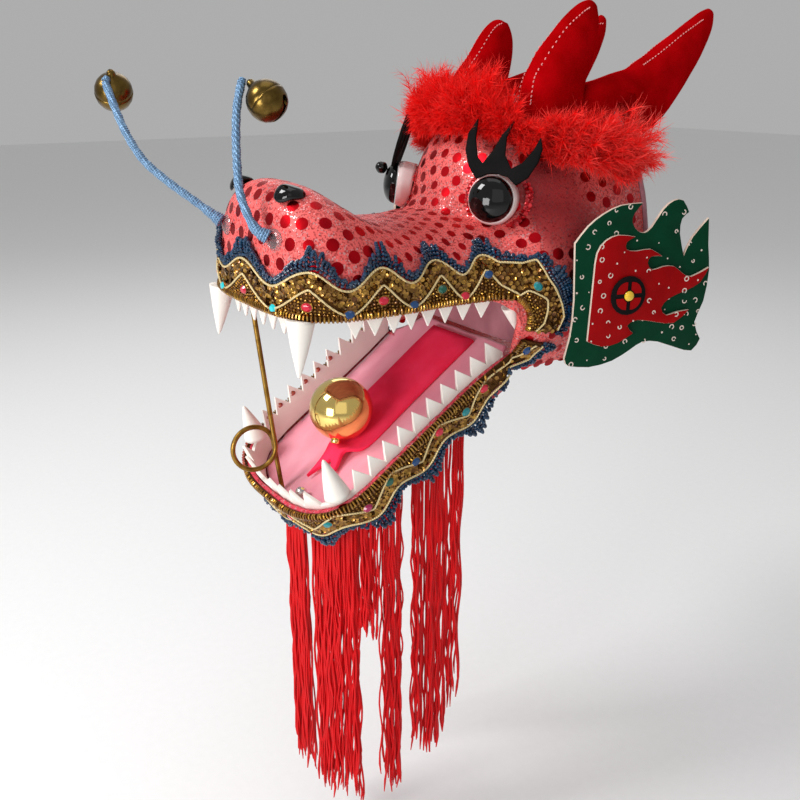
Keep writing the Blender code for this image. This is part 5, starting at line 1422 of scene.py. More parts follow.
    def _dot(
        self, shape: Shape, skin: Skin, found: tuple[np.ndarray, np.ndarray], size: float, squash: float
    ) -> None:
        """Press one dot on a skin.

        Args:
            shape: The shape it goes in.
            skin: The skin.
            found: Its middle and the normal there.
            size: Its size as a share of the usual one.
            squash: Its width as a share of its length.
        """
        place, normal = found
        first = np.array([1.0, 0.0, 0.0]) + self.rng.normal(0.0, 0.15, 3)
        radius = self.dot_radius * size * self.rng.uniform(0.92, 1.06)
        side = unit(np.cross(normal, unit(first - normal * (first @ normal))))
        front = np.cross(side, normal)
        rim = []
        for a in np.linspace(0.0, 2 * math.pi, 14, endpoint=False):
            flat = place + front * radius * math.cos(a) + side * radius * squash * math.sin(a)
            landed = skin.land(flat + normal, -normal, 3.0)
            rim.append((landed[0] if landed else flat) + normal * 0.12)
        middle = place + normal * 0.16
        count = len(rim)
        shape.add([middle] + rim, [(0, 1 + k, 1 + (k + 1) % count) for k in range(count)])

    @staticmethod
    def _bare(place: np.ndarray) -> bool:
        """Say whether a place on the head carries no dot."""
        # behind the eyes the painted shade is left plain, with no dots
        behind = abs(place[0]) > 45.0 and -68.0 < place[1] < -36.0 - 0.25 * place[2] and place[2] > 2.0
        return bool(behind or place[2] > 62.0 or (place[2] < -24.0 and place[1] < -84.0))


@dataclass
class Mouth:
    """Teeth, lining, palate and tongue, with the pearl, the bead and the prop rod."""

    floor: float = -12.6
    pearl_radius: float = 17.15
    bead_radius: float = 3.4
    rod_radius: float = 1.35
    eye_radius: float = 11.6
    # how far down the rod its eye is bent, as a share of its length
    eye_share: float = 0.765

    def build(self) -> None:
        """Make the pieces of the mouth."""
        for node in ("upper_teeth", "lower_teeth"):
            Cover(node, Looks.TOOTH, "white_foam", 0, 0.55, smooth=50.0).build()
        for side in ("left", "right"):
            for fang in ("upper_fang", "corner_fang", "lower_fang"):
                Cover(f"{fang}_{side}", Looks.TOOTH, "white_foam", 2, smooth=80.0).build()
        Cover("jaw_lining", Looks.LINING, "pink_satin", 3, relief=self._soft_creases).build()
        Cover("mouth_roof", Looks.MAUVE, "mauve_cloth", 2, relief=self._soft_creases).build()
        Cover("tongue", Looks.TONGUE, "crimson", 2, relief=self._tongue_folds, smooth=50.0).build()
        self._pearl()
        self._bead()
        self._rod()
        self._rim_beads()

    @staticmethod
    def _soft_creases(points: np.ndarray) -> np.ndarray:
        """Return the satin's soft creases."""
        return 0.22 * ripple(points, 26.0, 0.8, (1.0, 0.5, 0.5)) - 0.1

    @staticmethod
    def _tongue_folds(points: np.ndarray) -> np.ndarray:
        """Return the small folds near the tongue's tip."""
        return 0.3 * np.sin(points[:, 0] * 0.8) * bell_shape(points[:, 1], -160.0, 10.0)

    def _pearl(self) -> None:
        """Make the mirror-bright ball with its small cap."""
        radius = self.pearl_radius
        center = JAW.point(0.5, 72.0, self.floor + 2.6 + 0.4 + 17.2)
        cap = unit(JAW.forward * 0.75 - JAW.up * 0.5 + np.array([0.25, 0.0, 0.0]))
        turns = np.linspace(0.0, math.pi - 0.14, 40)
        rows = [(radius * math.sin(a), -radius * math.cos(a)) for a in turns]
        rows[0] = (0.0, -radius)
        rows += [(2.6, radius - 0.1), (2.6, radius + 1.4), (2.2, radius + 1.9), (0.0, radius + 2.0)]
        shape = Shape()
        shape.turned(rows, center, cap, 64)
        shape.build("pearl_ball", [Looks.GOLD], "gold", ["pearl"])

    def _bead(self) -> None:
        """Make the faceted silver bead and the copper wire that holds it."""
        bead = JAW.point(8.0, 118.4, self.floor + 4.2)
        radius = self.bead_radius
        rows = [(radius * math.sin(a), -radius * math.cos(a)) for a in np.linspace(0.0, math.pi, 7)]
        rows[0], rows[-1] = (0.0, -radius), (0.0, radius)
        shape = Shape()
        shape.turned(rows, bead, JAW.up, 10)
        shape.build("silver_bead_cut", [Looks.SILVER], "silver", ["silver_bead"], 5.0)
        wire = Shape()
        route = [bead + JAW.forward * 3.7 + [-1.2, 0.0, -0.8], bead + JAW.forward * 4.6 + [-5.0, 0, -1.6],
                 bead + JAW.forward * 3.6 + [-9.0, 0, -1.9]]
        wire.tube(curve_through(route, 16), 0.8, 10)
        wire.build("bead_wire_round", [Looks.COPPER], "copper", ["bead_wire"])

    def _rod(self) -> None:
        """Make the brass rod with the round eye bent in it."""
        top, foot = np.array([-23.0, -191.0, -23.3]), JAW.point(-12.0, 122.0, self.floor + 1.2)
        way, length = unit(foot - top), float(np.linalg.norm(foot - top))
        eye_at, ahead = top + way * length * self.eye_share, np.array([-0.12, -0.99, 0.0])
        forward = unit(ahead - way * (way @ ahead))
        side, radius = np.cross(way, forward), self.eye_radius
        center = eye_at + forward * (radius + 0.2)
        points = [top + way * length * share for share in (0.0, 0.2, 0.4, 0.6, 0.7)]
        for turn in np.linspace(0.0, 2 * math.pi, 40):
            spot = center - forward * radius * math.cos(turn) + way * radius * math.sin(turn)
            points.append(spot + side * 3.2 * (turn / (2 * math.pi) - 0.5))
        points += [eye_at + way * 8.0 + side * 1.6, foot]
        shape = Shape()
        shape.tube(points, self.rod_radius, 12)
        shape.build("rod_round", [Looks.ROD], "brass", ["prop_rod"])

    def _rim_beads(self) -> None:
        """Make the small rust beads that sit between the far teeth, and the red ones at the far front."""
        lengths, points, _ = TRAY.rows()
        shape = Shape()
        for distance in np.arange(62.0, 132.0, 10.2):
            p = read_rows(distance, lengths, points)
            spot = JAW.point(-(p[0] - 4.0), -p[1], 4.4)
            shape.turned([(0.0, -1.7), (1.8, -0.7), (2.1, 0.4), (1.1, 2.1), (0.0, 3.2)], spot, JAW.up, 8)
        for distance in np.arange(30.0, 62.0, 2.3):
            p = read_rows(distance, lengths, points)
            spot = JAW.point(-(p[0] + 1.2), -p[1] + 1.0, 1.0)
            shape.bead(spot, 1.05, JAW.forward)
        shape.build("far_rim_beads", [Looks.RUST_BEAD], "gold_braid")


@dataclass
class Face:
    """Eyes, lashes, nostrils and the red sequins round the eyes."""

    skin: Skin
    rng: np.random.Generator
    splay: float = math.radians(35.0)

    # first and last turn, and radius, of each row of sequins round an eye
    ROWS: ClassVar[Table] = ((-1.0, 0.75, 15.6), (-0.9, 0.6, 17.4), (math.pi - 0.8, math.pi + 0.7, 15.2))

    def build(self) -> None:
        """Make the pieces of the face."""
        for side in ("left", "right"):
            Cover(f"eye_white_{side}", Looks.EYE_WHITE, "eye_white", 2, smooth=60.0).build()
            Cover(f"eye_dome_{side}", Looks.BLACK, "black_gloss", 3, smooth=80.0).build()
            Cover(f"nostril_{side}", Looks.BLACK, "black_gloss", 2, smooth=80.0).build()
            Cover(f"lash_{side}", Looks.LASH, "black_foam", 0, 0.35, smooth=40.0).build()
        Cover("eye_bead_right", Looks.BLACK, "black_gloss", 2, smooth=80.0).build()
        self._eye_sequins()

    def _eye_sequins(self) -> None:
        """Make the two rows of red sequins along the outer and inner side of each eye."""
        shape = Shape()
        for sign in (1.0, -1.0):
            axis = unit(np.array([math.sin(self.splay) * sign, -math.cos(self.splay), 0.12]))
            side = unit(np.cross(axis, UPRIGHT)) * -sign
            center = np.array([37.5 * sign, -80.5, 19.5]) + axis * 4.0
            for low, high, radius in self.ROWS:
                for flat in ring(center, side, UPRIGHT, radius, np.arange(low, high, 0.125)):
                    found = self.skin.land(flat, -axis, 22.0)
                    if found:
                        lean = self.rng.normal(0.0, 0.3, 3)
                        shape.disc(found[0] + found[1] * 0.9, unit(found[1] + lean), 1.25, 0.35)
        shape.build("eye_sequins", [Looks.RED_SEQUIN], "dot_cloth", smooth=20.0)


@dataclass
class Antennae:
    """Two wires wrapped with blue thread, with a brass bell at each end."""

    skin: Skin
    wrap_pitch: float = 1.15

    # points on each wire, from its foot to its end
    ROUTES: ClassVar[dict[str, Table]] = {
        "left": ((26.0, -202.5, 10.5), (23.0, -206.5, 13.5), (18.0, -208.0, 19.0), (12.5, -209.0, 29.5),
                 (8.2, -207.6, 42.0), (4.2, -205.4, 54.4), (1.1, -202.8, 65.4), (-0.8, -199.3, 75.1)),
        "right": ((-26.0, -202.5, 11.0), (-29.5, -206.0, 14.5), (-36.0, -212.5, 21.0),
                  (-44.0, -221.5, 29.5), (-52.5, -229.8, 39.5), (-59.5, -234.4, 51.0),
                  (-65.5, -237.0, 63.0), (-72.5, -238.6, 75.6)),
    }
    # each bell's middle and the neck it hangs by
    HANGS: ClassVar[dict[str, tuple[np.ndarray, np.ndarray]]] = {
        "left": (np.array([8.1, -191.4, 68.2]), np.array([-1.4, -197.5, 78.6])),
        "right": (np.array([-81.0, -232.2, 71.2]), np.array([-74.4, -234.8, 80.6])),
    }
    # radius and height of a bell's outer wall and of its hollow
    OUTER: ClassVar[Table] = (
        (0.0, -9.6), (2.6, -9.3), (5.0, -8.4), (7.2, -6.7), (8.7, -4.2), (9.35, -1.6), (9.45, -0.5),
        (9.15, -0.1), (9.3, 0.5), (9.0, 2.6), (8.0, 4.9), (6.4, 6.8), (4.6, 8.0), (3.2, 8.9),
        (2.2, 9.8), (2.0, 11.2), (1.2, 12.2), (0.0, 12.4),
    )
    INNER: ClassVar[Table] = (
        (0.0, 7.6), (5.8, 5.6), (8.0, 2.2), (8.4, -1.4), (6.7, -5.4), (3.6, -7.9), (0.0, -8.6),
    )

    def build(self) -> None:
        """Make the wrapped wires, the glue at their feet and the bells."""
        for side, route in self.ROUTES.items():
            path = curve_through(route, 321)
            lengths = run_lengths(path)
            base = np.interp(lengths, [0.0, 5.5, 11.0, 300.0], [3.4, 2.7, 2.05, 1.8])
            ridge = np.abs(np.sin(math.pi * lengths / self.wrap_pitch))
            uneven = 1.0 + 0.05 * np.sin(lengths * 0.9) + 0.03 * np.sin(lengths * 2.3)
            shape = Shape()
            shape.tube(path, list(base * uneven * (0.90 + 0.13 * ridge)), 10)
            neck = self.HANGS[side][1]
            self._knot(shape, path[-1], neck)
            shape.build(f"antenna_{side}_wrapped", [Looks.ANTENNA], "blue_thread", [f"antenna_{side}"], 25.0)
            self._bell(side)
        self._glue()

    @staticmethod
    def _knot(shape: Shape, end: np.ndarray, neck: np.ndarray) -> None:
        """Add the turns of thread that tie the bell to the wire's end."""
        way = unit(neck - end)
        first, second = across(way)
        for k in range(3):
            turns = np.linspace(0.0, 2 * math.pi, 15)
            middle = end + way * (0.6 + 0.9 * k)
            shape.tube(ring(middle, first, second, 1.7 - 0.25 * k, turns), 0.45, 5)

    def _glue(self) -> None:
        """Make the clear glue round each foot."""
        shape = Shape()
        for sign in (1.0, -1.0):
            found = self.skin.land(np.array([25.5 * sign, -200.0, 9.0]), np.array([0.0, 1.0, -0.1]), 20.0)
            if found:
                rows = [(6.2, 0.1), (5.6, 0.8), (4.0, 1.7), (2.0, 2.3), (0.0, 2.5)]
                shape.turned(rows, found[0], found[1], 18, squash=0.8)
        shape.build("glue_beads", [Looks.GLUE], "blue_thread", smooth=80.0)

    def _bell(self, side: str) -> None:
        """Make one pear-shaped jingle bell with a slot, a seam and a neck."""
        center, neck = self.HANGS[side]
        axis = unit(neck - center)
        shape = Shape()
        shape.turned(self.OUTER, center, axis, 40)
        shape.turned(self.INNER, center, axis, 24)
        holder = shape.build(f"bell_{side}_body", [Looks.BRASS], "brass", [f"bell_{side}"], 50.0)
        tool = self._slot_tool(center, axis)
        cut = holder.modifiers.new("slot", "BOOLEAN")
        cut.operation, cut.solver, cut.use_self, cut.object = "DIFFERENCE", "EXACT", True, tool
        made = evaluated(holder)
        holder.modifiers.clear()
        holder.data = made
        bpy.data.objects.remove(tool)

    @staticmethod
    def _slot_tool(center: np.ndarray, axis: np.ndarray) -> bpy.types.Object:
        """Return the cutter of a bell's slot: a slab with a round hole at each end."""
        first, second = across(axis)
        cutter = Shape()
        corners = [center + first * w + second * t + axis * h
                   for w in (-1.0, 1.0) for t in (-7.2, 7.2) for h in (-12.0, -4.6)]
        box = [(0, 1, 3, 2), (4, 6, 7, 5), (0, 4, 5, 1), (2, 3, 7, 6), (0, 2, 6, 4), (1, 5, 7, 3)]
        cutter.add(corners, box)
        hole = [(0.0, -12.0), (1.9, -12.0), (1.9, -5.0), (0.0, -5.0)]
        for sign in (-1.0, 1.0):
            cutter.turned(hole, center + second * 6.6 * sign, axis, 14)
        mesh = bpy.data.meshes.new("slot")
        mesh.from_pydata(np.asarray(cutter.points) * MM, [], cutter.faces)
        return add_object("slot", mesh)


@dataclass
class Horns:
    """The stuffed felt horns with their white stitches."""

    def build(self) -> None:
        """Make both horns and the stitches along their front seams."""
        for side, sign in (("left", 1.0), ("right", -1.0)):
            node = f"antler_{side}"
            horn = Cover(node, Looks.HORN, "red_felt", relief=self._stuffing, smooth=80.0).build()
            self._stitches(f"horn_stitches_{side}", Skin(horn), sign)

    @staticmethod
    def _stuffing(points: np.ndarray) -> np.ndarray:
        """Return the lumps of the stuffing."""
        return 0.35 * ripple(points, 22.0, 0.4) - 0.1

    def _stitches(self, name: str, skin: Skin, sign: float) -> None:
        """Sew small stitches beside the front seam of each prong.

        Args:
            name: The piece's name.
            skin: The horn's surface.
            sign: 1 on the dragon's left and -1 on its right.
        """
        shape = Shape()
        runs = (((-56.0, 62.0), (-50.0, 74.0), (-44.0, 90.0), (-33.0, 103.0), (-25.0, 110.0)),
                ((20.0, 80.0), (34.0, 90.0), (50.0, 101.0), (62.0, 108.0)))
        for run in runs:
            route = curve_through([np.array([36.0 * sign, y, z]) for y, z in run], 26)
            for k in range(25):
                ahead = unit(route[k + 1] - route[k])
                inward = np.cross(ahead, [sign, 0.0, 0.0]) * sign
                for side in (1.0, -1.0):
                    start = route[k] + np.array([side * 4.6, 0.0, 0.0]) - inward * 6.0
                    found = skin.land(start, inward, 26.0)
                    if found is None:
                        continue
                    place, normal = found
                    half = ahead * 0.5
                    ends = (place - half, place + normal * 0.25, place + half)
                    shape.tube([p + normal * 0.08 for p in ends], 0.3, 5)
        shape.build(name, [Looks.STITCH], "red_felt")


@dataclass
class Ears:
    """The layered foam ears with cut edges, ring marks, a petalled disc and a bead."""

    rng: np.random.Generator
    angle: float = math.radians(18.0)
    # the black disc's middle along the ear and in height, and how far marks keep off it
    disc_s: float = 41.2
    disc_z: float = -25.4
    disc_clear: float = 12.5
    mark_tries: int = 420
    mark_gap: float = 6.0

    def build(self) -> None:
        """Make both ears."""
        for side, sign in (("left", 1.0), ("right", -1.0)):
            layers = (("back", Looks.GREEN_FOAM, "green_foam"), ("front", Looks.RED_FOAM, "red_foam"))
            back, front = (
                Cover(
                    f"ear_{layer}_{side}", look, slot, 0, 0.3, edge_look=Looks.CUT_EDGE, smooth=40.0
                ).build()
                for layer, look, slot in layers
            )
            Cover(f"ear_disc_{side}", Looks.LASH, "black_foam", 0, 0.2, smooth=40.0).build()
            Cover(f"ear_button_{side}", Looks.YELLOW, "yellow", 2, smooth=80.0).build()
            Cover(f"ear_spacer_{side}", Looks.LASH, "black_foam", 1).build()
            self._marks(side, sign, Skin(back, front))
            self._petals(side, sign)

    def _point(self, s: float, z: float, n: float, sign: float) -> np.ndarray:
        """Return the point of an ear at s along it, height z and distance n out of its plane."""
        along = np.array([math.sin(self.angle), math.cos(self.angle), 0.0])
        out = np.array([math.cos(self.angle), -math.sin(self.angle), 0.0])
        place = np.array([74.6, -75.0, 0.0]) + along * s + out * n + np.array([0.0, 0.0, z])
        return place * np.array([sign, 1.0, 1.0])

    def _marks(self, side: str, sign: float, skin: Skin) -> None:
        """Print open rings and specks on the foam."""
        shape, kept = Shape(), []
        out = self._point(0.0, 0.0, 1.0, sign) - self._point(0.0, 0.0, 0.0, sign)
        for _ in range(self.mark_tries):
            s, z = self.rng.uniform(10.0, 92.0), self.rng.uniform(-62.0, 20.0)
            if math.hypot(s - self.disc_s, z - self.disc_z) < self.disc_clear:
                continue
            if any(math.hypot(s - a, z - b) < self.mark_gap for a, b in kept):
                continue
            found = skin.land(self._point(s, z, 6.0, sign), -out, 12.0)
            if found is None or found[1] @ out < 0.97:
                continue
            kept.append((s, z))
            place = found[0] + out * 0.08
            first, second = across(out)
            start, radius = self.rng.uniform(0.0, WAVE), self.rng.uniform(1.0, 1.45)
            sweep = self.rng.uniform(3.6, 6.2)
            if self.rng.random() < 0.35:
                shape.disc(place, out, self.rng.uniform(0.35, 0.6))
                continue
            turns = np.linspace(start, start + sweep, 15)
            outer, inner = (ring(place, first, second, r, turns) for r in (radius, radius - 0.55))
            rim = [point for pair in zip(outer, inner) for point in pair]
            shape.add(rim, [(2 * k, 2 * k + 1, 2 * k + 3, 2 * k + 2) for k in range(14)])
        shape.build(f"ear_marks_{side}", [Looks.RING_MARK], "red_foam")

    def _petals(self, side: str, sign: float) -> None:
        """Set the red petals on the black disc."""
        shape = Shape()
        for turn in np.radians([45.0, 135.0, 225.0, 315.0]):
            rim = []
            for share in np.linspace(0.0, 1.0, 9):
                rim.append((turn - 0.62 + 1.24 * share, 7.4 - 0.5 * (2 * share - 1) ** 2))
            for share in np.linspace(1.0, 0.0, 5):
                rim.append((turn - 0.42 + 0.84 * share, 3.1))
            spots = [(self.disc_s + r * math.cos(a), self.disc_z + r * 1.04 * math.sin(a)) for a, r in rim]
            points = [self._point(s, z, n, sign) for n in (5.55, 5.85) for s, z in spots]
            count = len(rim)
            faces = [tuple(range(count)), tuple(range(count, 2 * count))]
            faces += [(k, (k + 1) % count, count + (k + 1) % count, count + k) for k in range(count)]
            shape.add(points, faces)
        shape.build(f"ear_petals_{side}", [Looks.RED_FOAM], "red_foam", smooth=30.0)


@dataclass
class Boa:
    """The marabou trim round the horns: quills on a cord, each with soft barbs."""

    skin: Skin
    rng: np.random.Generator
    quills: int = 620
    barbs: int = 100
    half_width: float = 0.075
    longest_barb: float = 12.5
    spread: float = 1.75
    # quills grow longer this way
    rise: ClassVar[np.ndarray] = np.array([0.0, 0.5, 0.85])

    def build(self) -> None:
        """Make the trim in three pieces: the close down, the outer down and the wisps."""
        route = self._route()
        solid = Skin(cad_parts["feather_boa"])
        self._down("boa_down", route, solid, self.quills, 1.0, (0.0, 0.3), ["feather_boa"])
        self._down("boa_fluff", route, solid, self.quills, 1.12, (0.02, 0.5), [])
        self._down("boa_wisps", route, solid, self.quills // 3, 1.4, (0.1, 0.85), [])

    def _route(self) -> list[tuple[np.ndarray, np.ndarray]]:
        """Return the cord's points and the skin's normals there."""
        route = []
        for turn in np.linspace(-0.5 * math.pi, 0.5 * math.pi, 81):
            over = math.cos(turn)
            point = np.array([60.5 * math.sin(turn), -8.0 - 76.0 * over**0.6, 34.0 + 28.0 * over])
            place, normal = self.skin.near(point)
            route.append((place + unit(normal) * 7.0, unit(normal)))
        for _ in range(12):
            middle = [(0.25 * a[0] + 0.5 * b[0] + 0.25 * c[0], unit(a[1] + 2 * b[1] + c[1]))
                      for a, b, c in zip(route, route[1:], route[2:])]
            route[1:-1] = middle
        return route

    def _down(
        self, name: str, route: Sequence[tuple[np.ndarray, np.ndarray]], solid: Skin, quills: int,
        reach: float, pale: tuple[float, float], replaces: Sequence[str],
    ) -> None:
        """Grow the quills and their barbs.

        Args:
            name: The piece's name.
            route: The cord they grow from.
            solid: The trim's outer form.
            quills: How many quills there are.
            reach: Their reach as a share of the form.
            pale: How pale the tips are, in painted light, in the middle and at the ends of the trim.
            replaces: The CAD nodes that the piece stands for.
        """
        shape = Shape()
        if replaces:
            shape.tube([p for p, _ in route], 1.6, 6)
        for k in range(quills):
            share = (k + self.rng.uniform(0.0, 1.0)) / quills
            spot = share * (len(route) - 1)
            i = min(int(spot), len(route) - 2)
            root = route[i][0] * (1 - spot + i) + route[i + 1][0] * (spot - i)
            along, up = unit(route[i + 1][0] - route[i][0]), route[i][1]
            turn = self.rng.uniform(-self.spread, self.spread)
            side = unit(np.cross(along, up))
            way = unit(up * math.cos(turn) + side * math.sin(turn) + along * self.rng.normal(0.0, 0.45))
            edge = abs(2 * share - 1) ** 6
            if edge > 0.3:
                way = unit(way + along * math.copysign(0.9, share - 0.5))
            found = solid.tree.ray_cast(Vector(root), Vector(way), 40.0)
            length = (found[3] if found[0] is not None else 10.0) * reach * self.rng.uniform(0.6, 1.0)
            length *= 1.0 + 0.5 * float(way @ self.rise)
            bend = unit(np.cross(way, self.rng.normal(0.0, 1.0, 3))) * length * 0.28
            fade = pale[0] + (pale[1] - pale[0]) * edge
            self._quill(shape, root, way * length, bend, fade)
        shape.build(name, [Looks.DOWN], "feather", replaces, 180.0)

    def _quill(self, shape: Shape, root: np.ndarray, run: np.ndarray, bend: np.ndarray, fade: float) -> None:
        """Add one quill's barbs as thin tapered ribbons.

        Args:
            shape: The shape they go in.
            root: Where the quill starts.
            run: Its straight run.
            bend: How far its tip bends aside.
            fade: How pale its tips are, in painted light.
        """
        length = float(np.linalg.norm(run))
        shares = self.rng.uniform(0.05, 1.0, self.barbs)[:, None]
        start = root + run * shares + bend * shares**2
        ahead = run + 2.0 * bend * shares
        ahead /= np.linalg.norm(ahead, axis=1)[:, None]
        out = self.rng.normal(0.0, 0.5, start.shape) + ahead
        out /= np.linalg.norm(out, axis=1)[:, None]
        size = min(length * 0.75, self.longest_barb) * (1.1 - 0.5 * shares)
        size = size * self.rng.uniform(0.6, 1.25, shares.shape)
        curl = np.cross(out, self.rng.normal(0.0, 0.3, start.shape)) * size
        wide = np.cross(out, self.rng.normal(0.0, 1.0, start.shape)) * self.half_width
        middle, end = start + out * size * 0.55 + curl * 0.35, start + out * size + curl
        rows = np.stack([start - wide, start + wide, middle - wide, middle + wide, end], axis=1)
        faces = []
        for k in range(0, 5 * len(rows), 5):
            faces += [(k, k + 1, k + 3, k + 2), (k + 2, k + 3, k + 4)]
        shape.add(rows.reshape(-1, 3), faces)
        # painted light: each barb grows paler towards its tip
        tints = np.minimum(1.0, fade + 0.15 * shares) * np.array([0.0, 0.0, 0.5, 0.5, 1.0])
        shape.tints[-tints.size:] = tints.ravel()


@dataclass
class Fringe:
    """Bundles of limp red cords that hang from a tape under the jaw."""

    rng: np.random.Generator
    cord_radius: float = 0.62
    short_share: float = 0.1
    cords_per_mm: float = 1.15
    tape_radius: float = 1.3
    # how far the tape lies inside the lip and under it
    inset: float = 8.0
    tape_depth: float = 19.2

    # first and last distance along the tape, and the height of the ends
    BUNDLES: ClassVar[Table] = (
        (-18.5, 4.0, -312.0), (13.0, 44.5, -312.0), (46.5, 56.0, -200.0), (59.5, 73.5, -305.0),
        (83.0, 89.5, -284.0), (93.0, 107.5, -292.0), (112.0, 119.5, -264.0), (-122.0, -114.0, -262.0),
        (-109.0, -95.0, -270.0), (-91.0, -80.0, -276.0),
    )

    def build(self) -> None:
        """Make the tape and its cords."""
        shape = Shape()
        widths = tuple((y, w - self.inset) for y, w in TRAY.widths)
        line = Outline(TRAY.front + self.inset, TRAY.length, TRAY.power, widths, -18.0)
        lengths, points, _ = line.rows()
        turns = np.arange(-lengths[-1], lengths[-1], 2.5)
        tape = [self._under(d, lengths, points) for d in turns]
        shape.tube(tape, self.tape_radius, 6)
        for low, high, bottom in self.BUNDLES:
            count = max(int((high - low) * self.cords_per_mm), 4)
            for k in range(count):
                distance = low + (high - low) * (k + 0.5) / count
                for layer in (0, 1):
                    self._cord(shape, self._under(distance, lengths, points), bottom, layer)
        shape.build("fringe_cords", [Looks.CORD], "red_cord", ["fringe"], 70.0)

    def _under(self, distance: float, lengths: np.ndarray, points: np.ndarray) -> np.ndarray:
        """Return the place under the tray at a distance along the tape."""
        x, y = read_rows(abs(distance), lengths, points)
        return JAW.point(math.copysign(x, distance), -y, -self.tape_depth)

    def _cord(self, shape: Shape, top: np.ndarray, bottom: float, layer: int) -> None:
        """Hang one cord, a little wavy, with a frayed end.

        Args:
            shape: The shape it goes in.
            top: Where it is sewn on.
            bottom: The height of the bundle's ends.
            layer: 0 for the front layer and 1 for the one behind it.
        """
        start = top + np.array([self.rng.uniform(-0.8, 0.8), self.rng.uniform(-1.0, 1.0) + 1.6 * layer, 0.0])
        end = bottom + self.rng.uniform(-9.0, 14.0)
        if self.rng.random() < self.short_share:
            end += self.rng.uniform(20.0, 90.0)
        sway = self.rng.normal(0.0, 0.9, 2)
        phase, pitch = self.rng.uniform(0.0, WAVE, 2), self.rng.uniform(30.0, 60.0)
        path = []
        for share in np.linspace(0.0, 1.0, 26):
            z = start[2] + (end - start[2]) * share
            loose = min(share * 3.0, 1.0)
            wave = np.sin(WAVE * z / pitch + phase) * 0.75 * loose
            path.append(np.array([*(start[:2] + sway * share + wave), z]))
        radius = self.cord_radius * self.rng.uniform(0.8, 1.15)
        shape.tube(path, [radius] * 24 + [radius * 1.25, radius * 0.5], 5)


# The studio


@dataclass(frozen=True)
class Studio:
    """A pale floor, soft lights and the camera."""

    floor_z: float = -0.36
    floor_half: float = 6.0
    world_strength: float = 0.42
    camera_at: Colour = (0.395, -0.380, 0.080)
    azimuth: float = math.radians(56.0)
    pitch: float = math.radians(20.0)
    lens: float = 40.5

    # name, place, aim, side in metres, power in watts
    LIGHTS: ClassVar = (
        ("key", (-0.35, -1.15, 0.95), (0.0, -0.1, -0.04), 0.45, 13.0),
        ("fill", (1.3, -0.9, 0.55), (0.0, -0.1, -0.04), 1.2, 2.0),
        ("top", (-0.1, 0.0, 1.3), (0.0, -0.1, -0.04), 1.0, 3.0),
        ("rim", (-1.0, 0.5, 0.8), (0.0, -0.1, -0.04), 0.8, 3.0),
        ("mouth", (0.3, -1.0, -0.02), (0.0, -0.14, -0.09), 0.35, 4.0),
    )

    def build(self) -> None:
        """Make the floor, the lights and the camera."""
        mesh = bpy.data.meshes.new("floor")
        corners = [(x * self.floor_half, y * self.floor_half, self.floor_z)
                   for x, y in ((-1, -1), (1, -1), (1, 1), (-1, 1))]
        mesh.from_pydata(corners, [], [(0, 1, 2, 3)])
        mesh.materials.append(Looks.FLOOR.value.material())
        floor = add_object("floor", mesh)
        self._camera()
        for name, place, aim, size, power in self.LIGHTS:
            self._light(name, Vector(place), Vector(aim), size, power)
        world = bpy.data.worlds.new("studio")
        world.use_nodes = True
        background = world.node_tree.nodes["Background"]
        background.inputs["Color"].default_value = (1.0, 1.0, 1.0, 1.0)
        background.inputs["Strength"].default_value = self.world_strength
        bpy.context.scene.world = world
        bpy.context.scene.view_settings.view_transform = "Standard"

    def _camera(self) -> None:
        """Make the camera at the photograph's angle."""
        level = math.cos(self.pitch)
        back = Vector((math.sin(self.azimuth) * level, -math.cos(self.azimuth) * level, math.sin(self.pitch)))
        right = Vector((math.cos(self.azimuth), math.sin(self.azimuth), 0.0))
        up = back.cross(right)
        turn = Matrix((right, up, back)).transposed().to_4x4()
        data = bpy.data.cameras.new("camera")
        data.lens = self.lens
        data.sensor_width = 36.0
        data.clip_start = 0.01
        camera = add_object("camera", data)
        camera.matrix_world = Matrix.Translation(self.camera_at) @ turn
        bpy.context.scene.camera = camera

    @staticmethod
    def _light(name: str, place: Vector, aim: Vector, size: float, power: float) -> None:
        """Make one square soft light that faces a point.

        Args:
            name: Its name.
            place: Where it stands, in metres.
            aim: What it faces.
            size: Its side, in metres.
            power: Its power, in watts.
        """
        data = bpy.data.lights.new(name, "AREA")
        data.size = size
        data.energy = power
        light = add_object(name, data)
        light.location = place
        light.rotation_euler = (place - aim).to_track_quat("Z", "Y").to_euler()


# distance, share of the braid's height, and look of each stone
UPPER_STONES = (
    (0.0, 0.30, Looks.RED_STONE), (28.0, 0.22, Looks.TURQUOISE), (48.0, 0.30, Looks.RED_STONE),
    (66.0, 0.22, Looks.NAVY_STONE), (83.0, 0.34, Looks.RED_STONE), (99.0, 0.26, Looks.NAVY_STONE),
    (116.0, 0.38, Looks.GREEN_STONE), (129.0, 0.28, Looks.RED_STONE), (143.0, 0.56, Looks.NAVY_STONE),
    (165.0, 0.62, Looks.TEAL_STONE), (-28.0, 0.22, Looks.TURQUOISE), (-48.0, 0.30, Looks.RED_STONE),
    (-66.0, 0.22, Looks.NAVY_STONE), (-83.0, 0.34, Looks.RED_STONE), (-99.0, 0.26, Looks.GREEN_STONE),
    (-116.0, 0.38, Looks.RED_STONE), (-129.0, 0.28, Looks.NAVY_STONE), (-143.0, 0.56, Looks.RED_STONE),
    (-165.0, 0.62, Looks.TEAL_STONE),
)
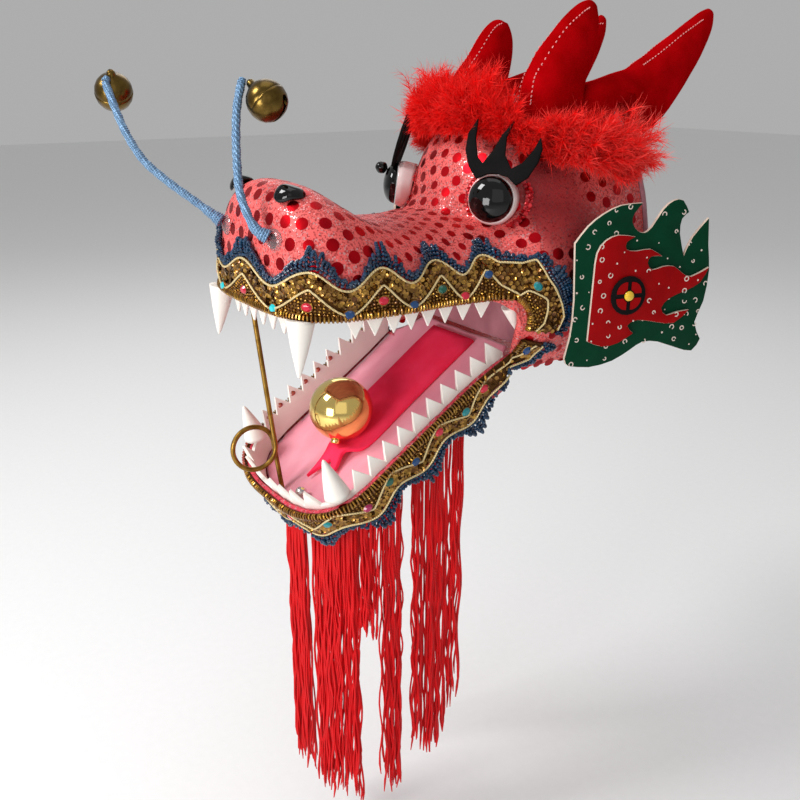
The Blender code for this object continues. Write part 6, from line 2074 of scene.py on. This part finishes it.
LOWER_STONES = (
    (20.0, 0.45, Looks.RED_STONE), (45.0, 0.5, Looks.TEAL_STONE), (66.0, 0.5, Looks.MAGENTA_STONE),
    (82.0, 0.45, Looks.GREEN_STONE), (99.0, 0.5, Looks.NAVY_STONE), (118.0, 0.45, Looks.RED_STONE),
    (136.0, 0.5, Looks.TEAL_STONE), (151.0, 0.45, Looks.RED_STONE), (165.0, 0.5, Looks.NAVY_STONE),
    (-20.0, 0.45, Looks.TURQUOISE), (-45.0, 0.5, Looks.RED_STONE), (-66.0, 0.5, Looks.NAVY_STONE),
    (-90.0, 0.5, Looks.TEAL_STONE), (-118.0, 0.5, Looks.GREEN_STONE), (-146.0, 0.5, Looks.RED_STONE),
)
# x, inner y and z, outer y and z of the braid round the mouth's corner
UPPER_CORNER = (
    (65.7, -89.5, -25.6, -85.0, -8.0), (67.2, -86.6, -28.0, -78.0, -6.5),
    (68.0, -84.6, -31.0, -72.5, -16.0), (68.3, -83.4, -34.5, -66.5, -25.5),
    (67.8, -83.2, -38.5, -62.5, -35.0), (67.0, -83.8, -42.5, -66.0, -44.5),
)
LOWER_CORNER = (
    (62.3, -87.4, -54.0, -78.0, -61.5), (64.5, -86.2, -50.5, -74.5, -55.0),
    (66.3, -84.8, -46.6, -70.0, -50.0),
)
# distances of crests and troughs in turn
UPPER_WAVES = (0.0, 26.0, 49.0, 66.0, 83.0, 99.0, 116.0, 129.0, 142.0, 156.0, 171.0, 188.0)
LOWER_WAVES = (0.0, 17.0, 34.0, 51.0, 68.0, 85.0, 102.0, 119.0, 136.0, 153.0, 170.0, 187.0)


def main() -> None:
    """Build the studio and every piece of the head."""
    logging.basicConfig(level=logging.INFO, format="%(message)s")
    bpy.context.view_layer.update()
    rng = np.random.default_rng(7)
    Studio().build()
    skin = HeadCloth(rng).build()
    upper = LipBand(skin, SNOUT, False, 149.0, UPPER_CORNER, UPPER_WAVES, 18.0, 4.2, 5.4, 2.2)
    Braid("upper", upper, UPPER_STONES, rng).build()
    both = Skin(bpy.data.objects["head_shell_skin"], bpy.data.objects["lower_jaw_skin"])
    lower = LipBand(both, TRAY, True, 153.0, LOWER_CORNER, LOWER_WAVES, 14.5, 2.4, 4.2, 1.6)
    Braid("lower", lower, LOWER_STONES, rng, sequin_rows=2).build()
    Mouth().build()
    Face(skin, rng).build()
    Antennae(skin).build()
    Horns().build()
    Ears(rng).build()
    Boa(skin, rng).build()
    Fringe(rng).build()


if __name__ == "__main__":
    main()
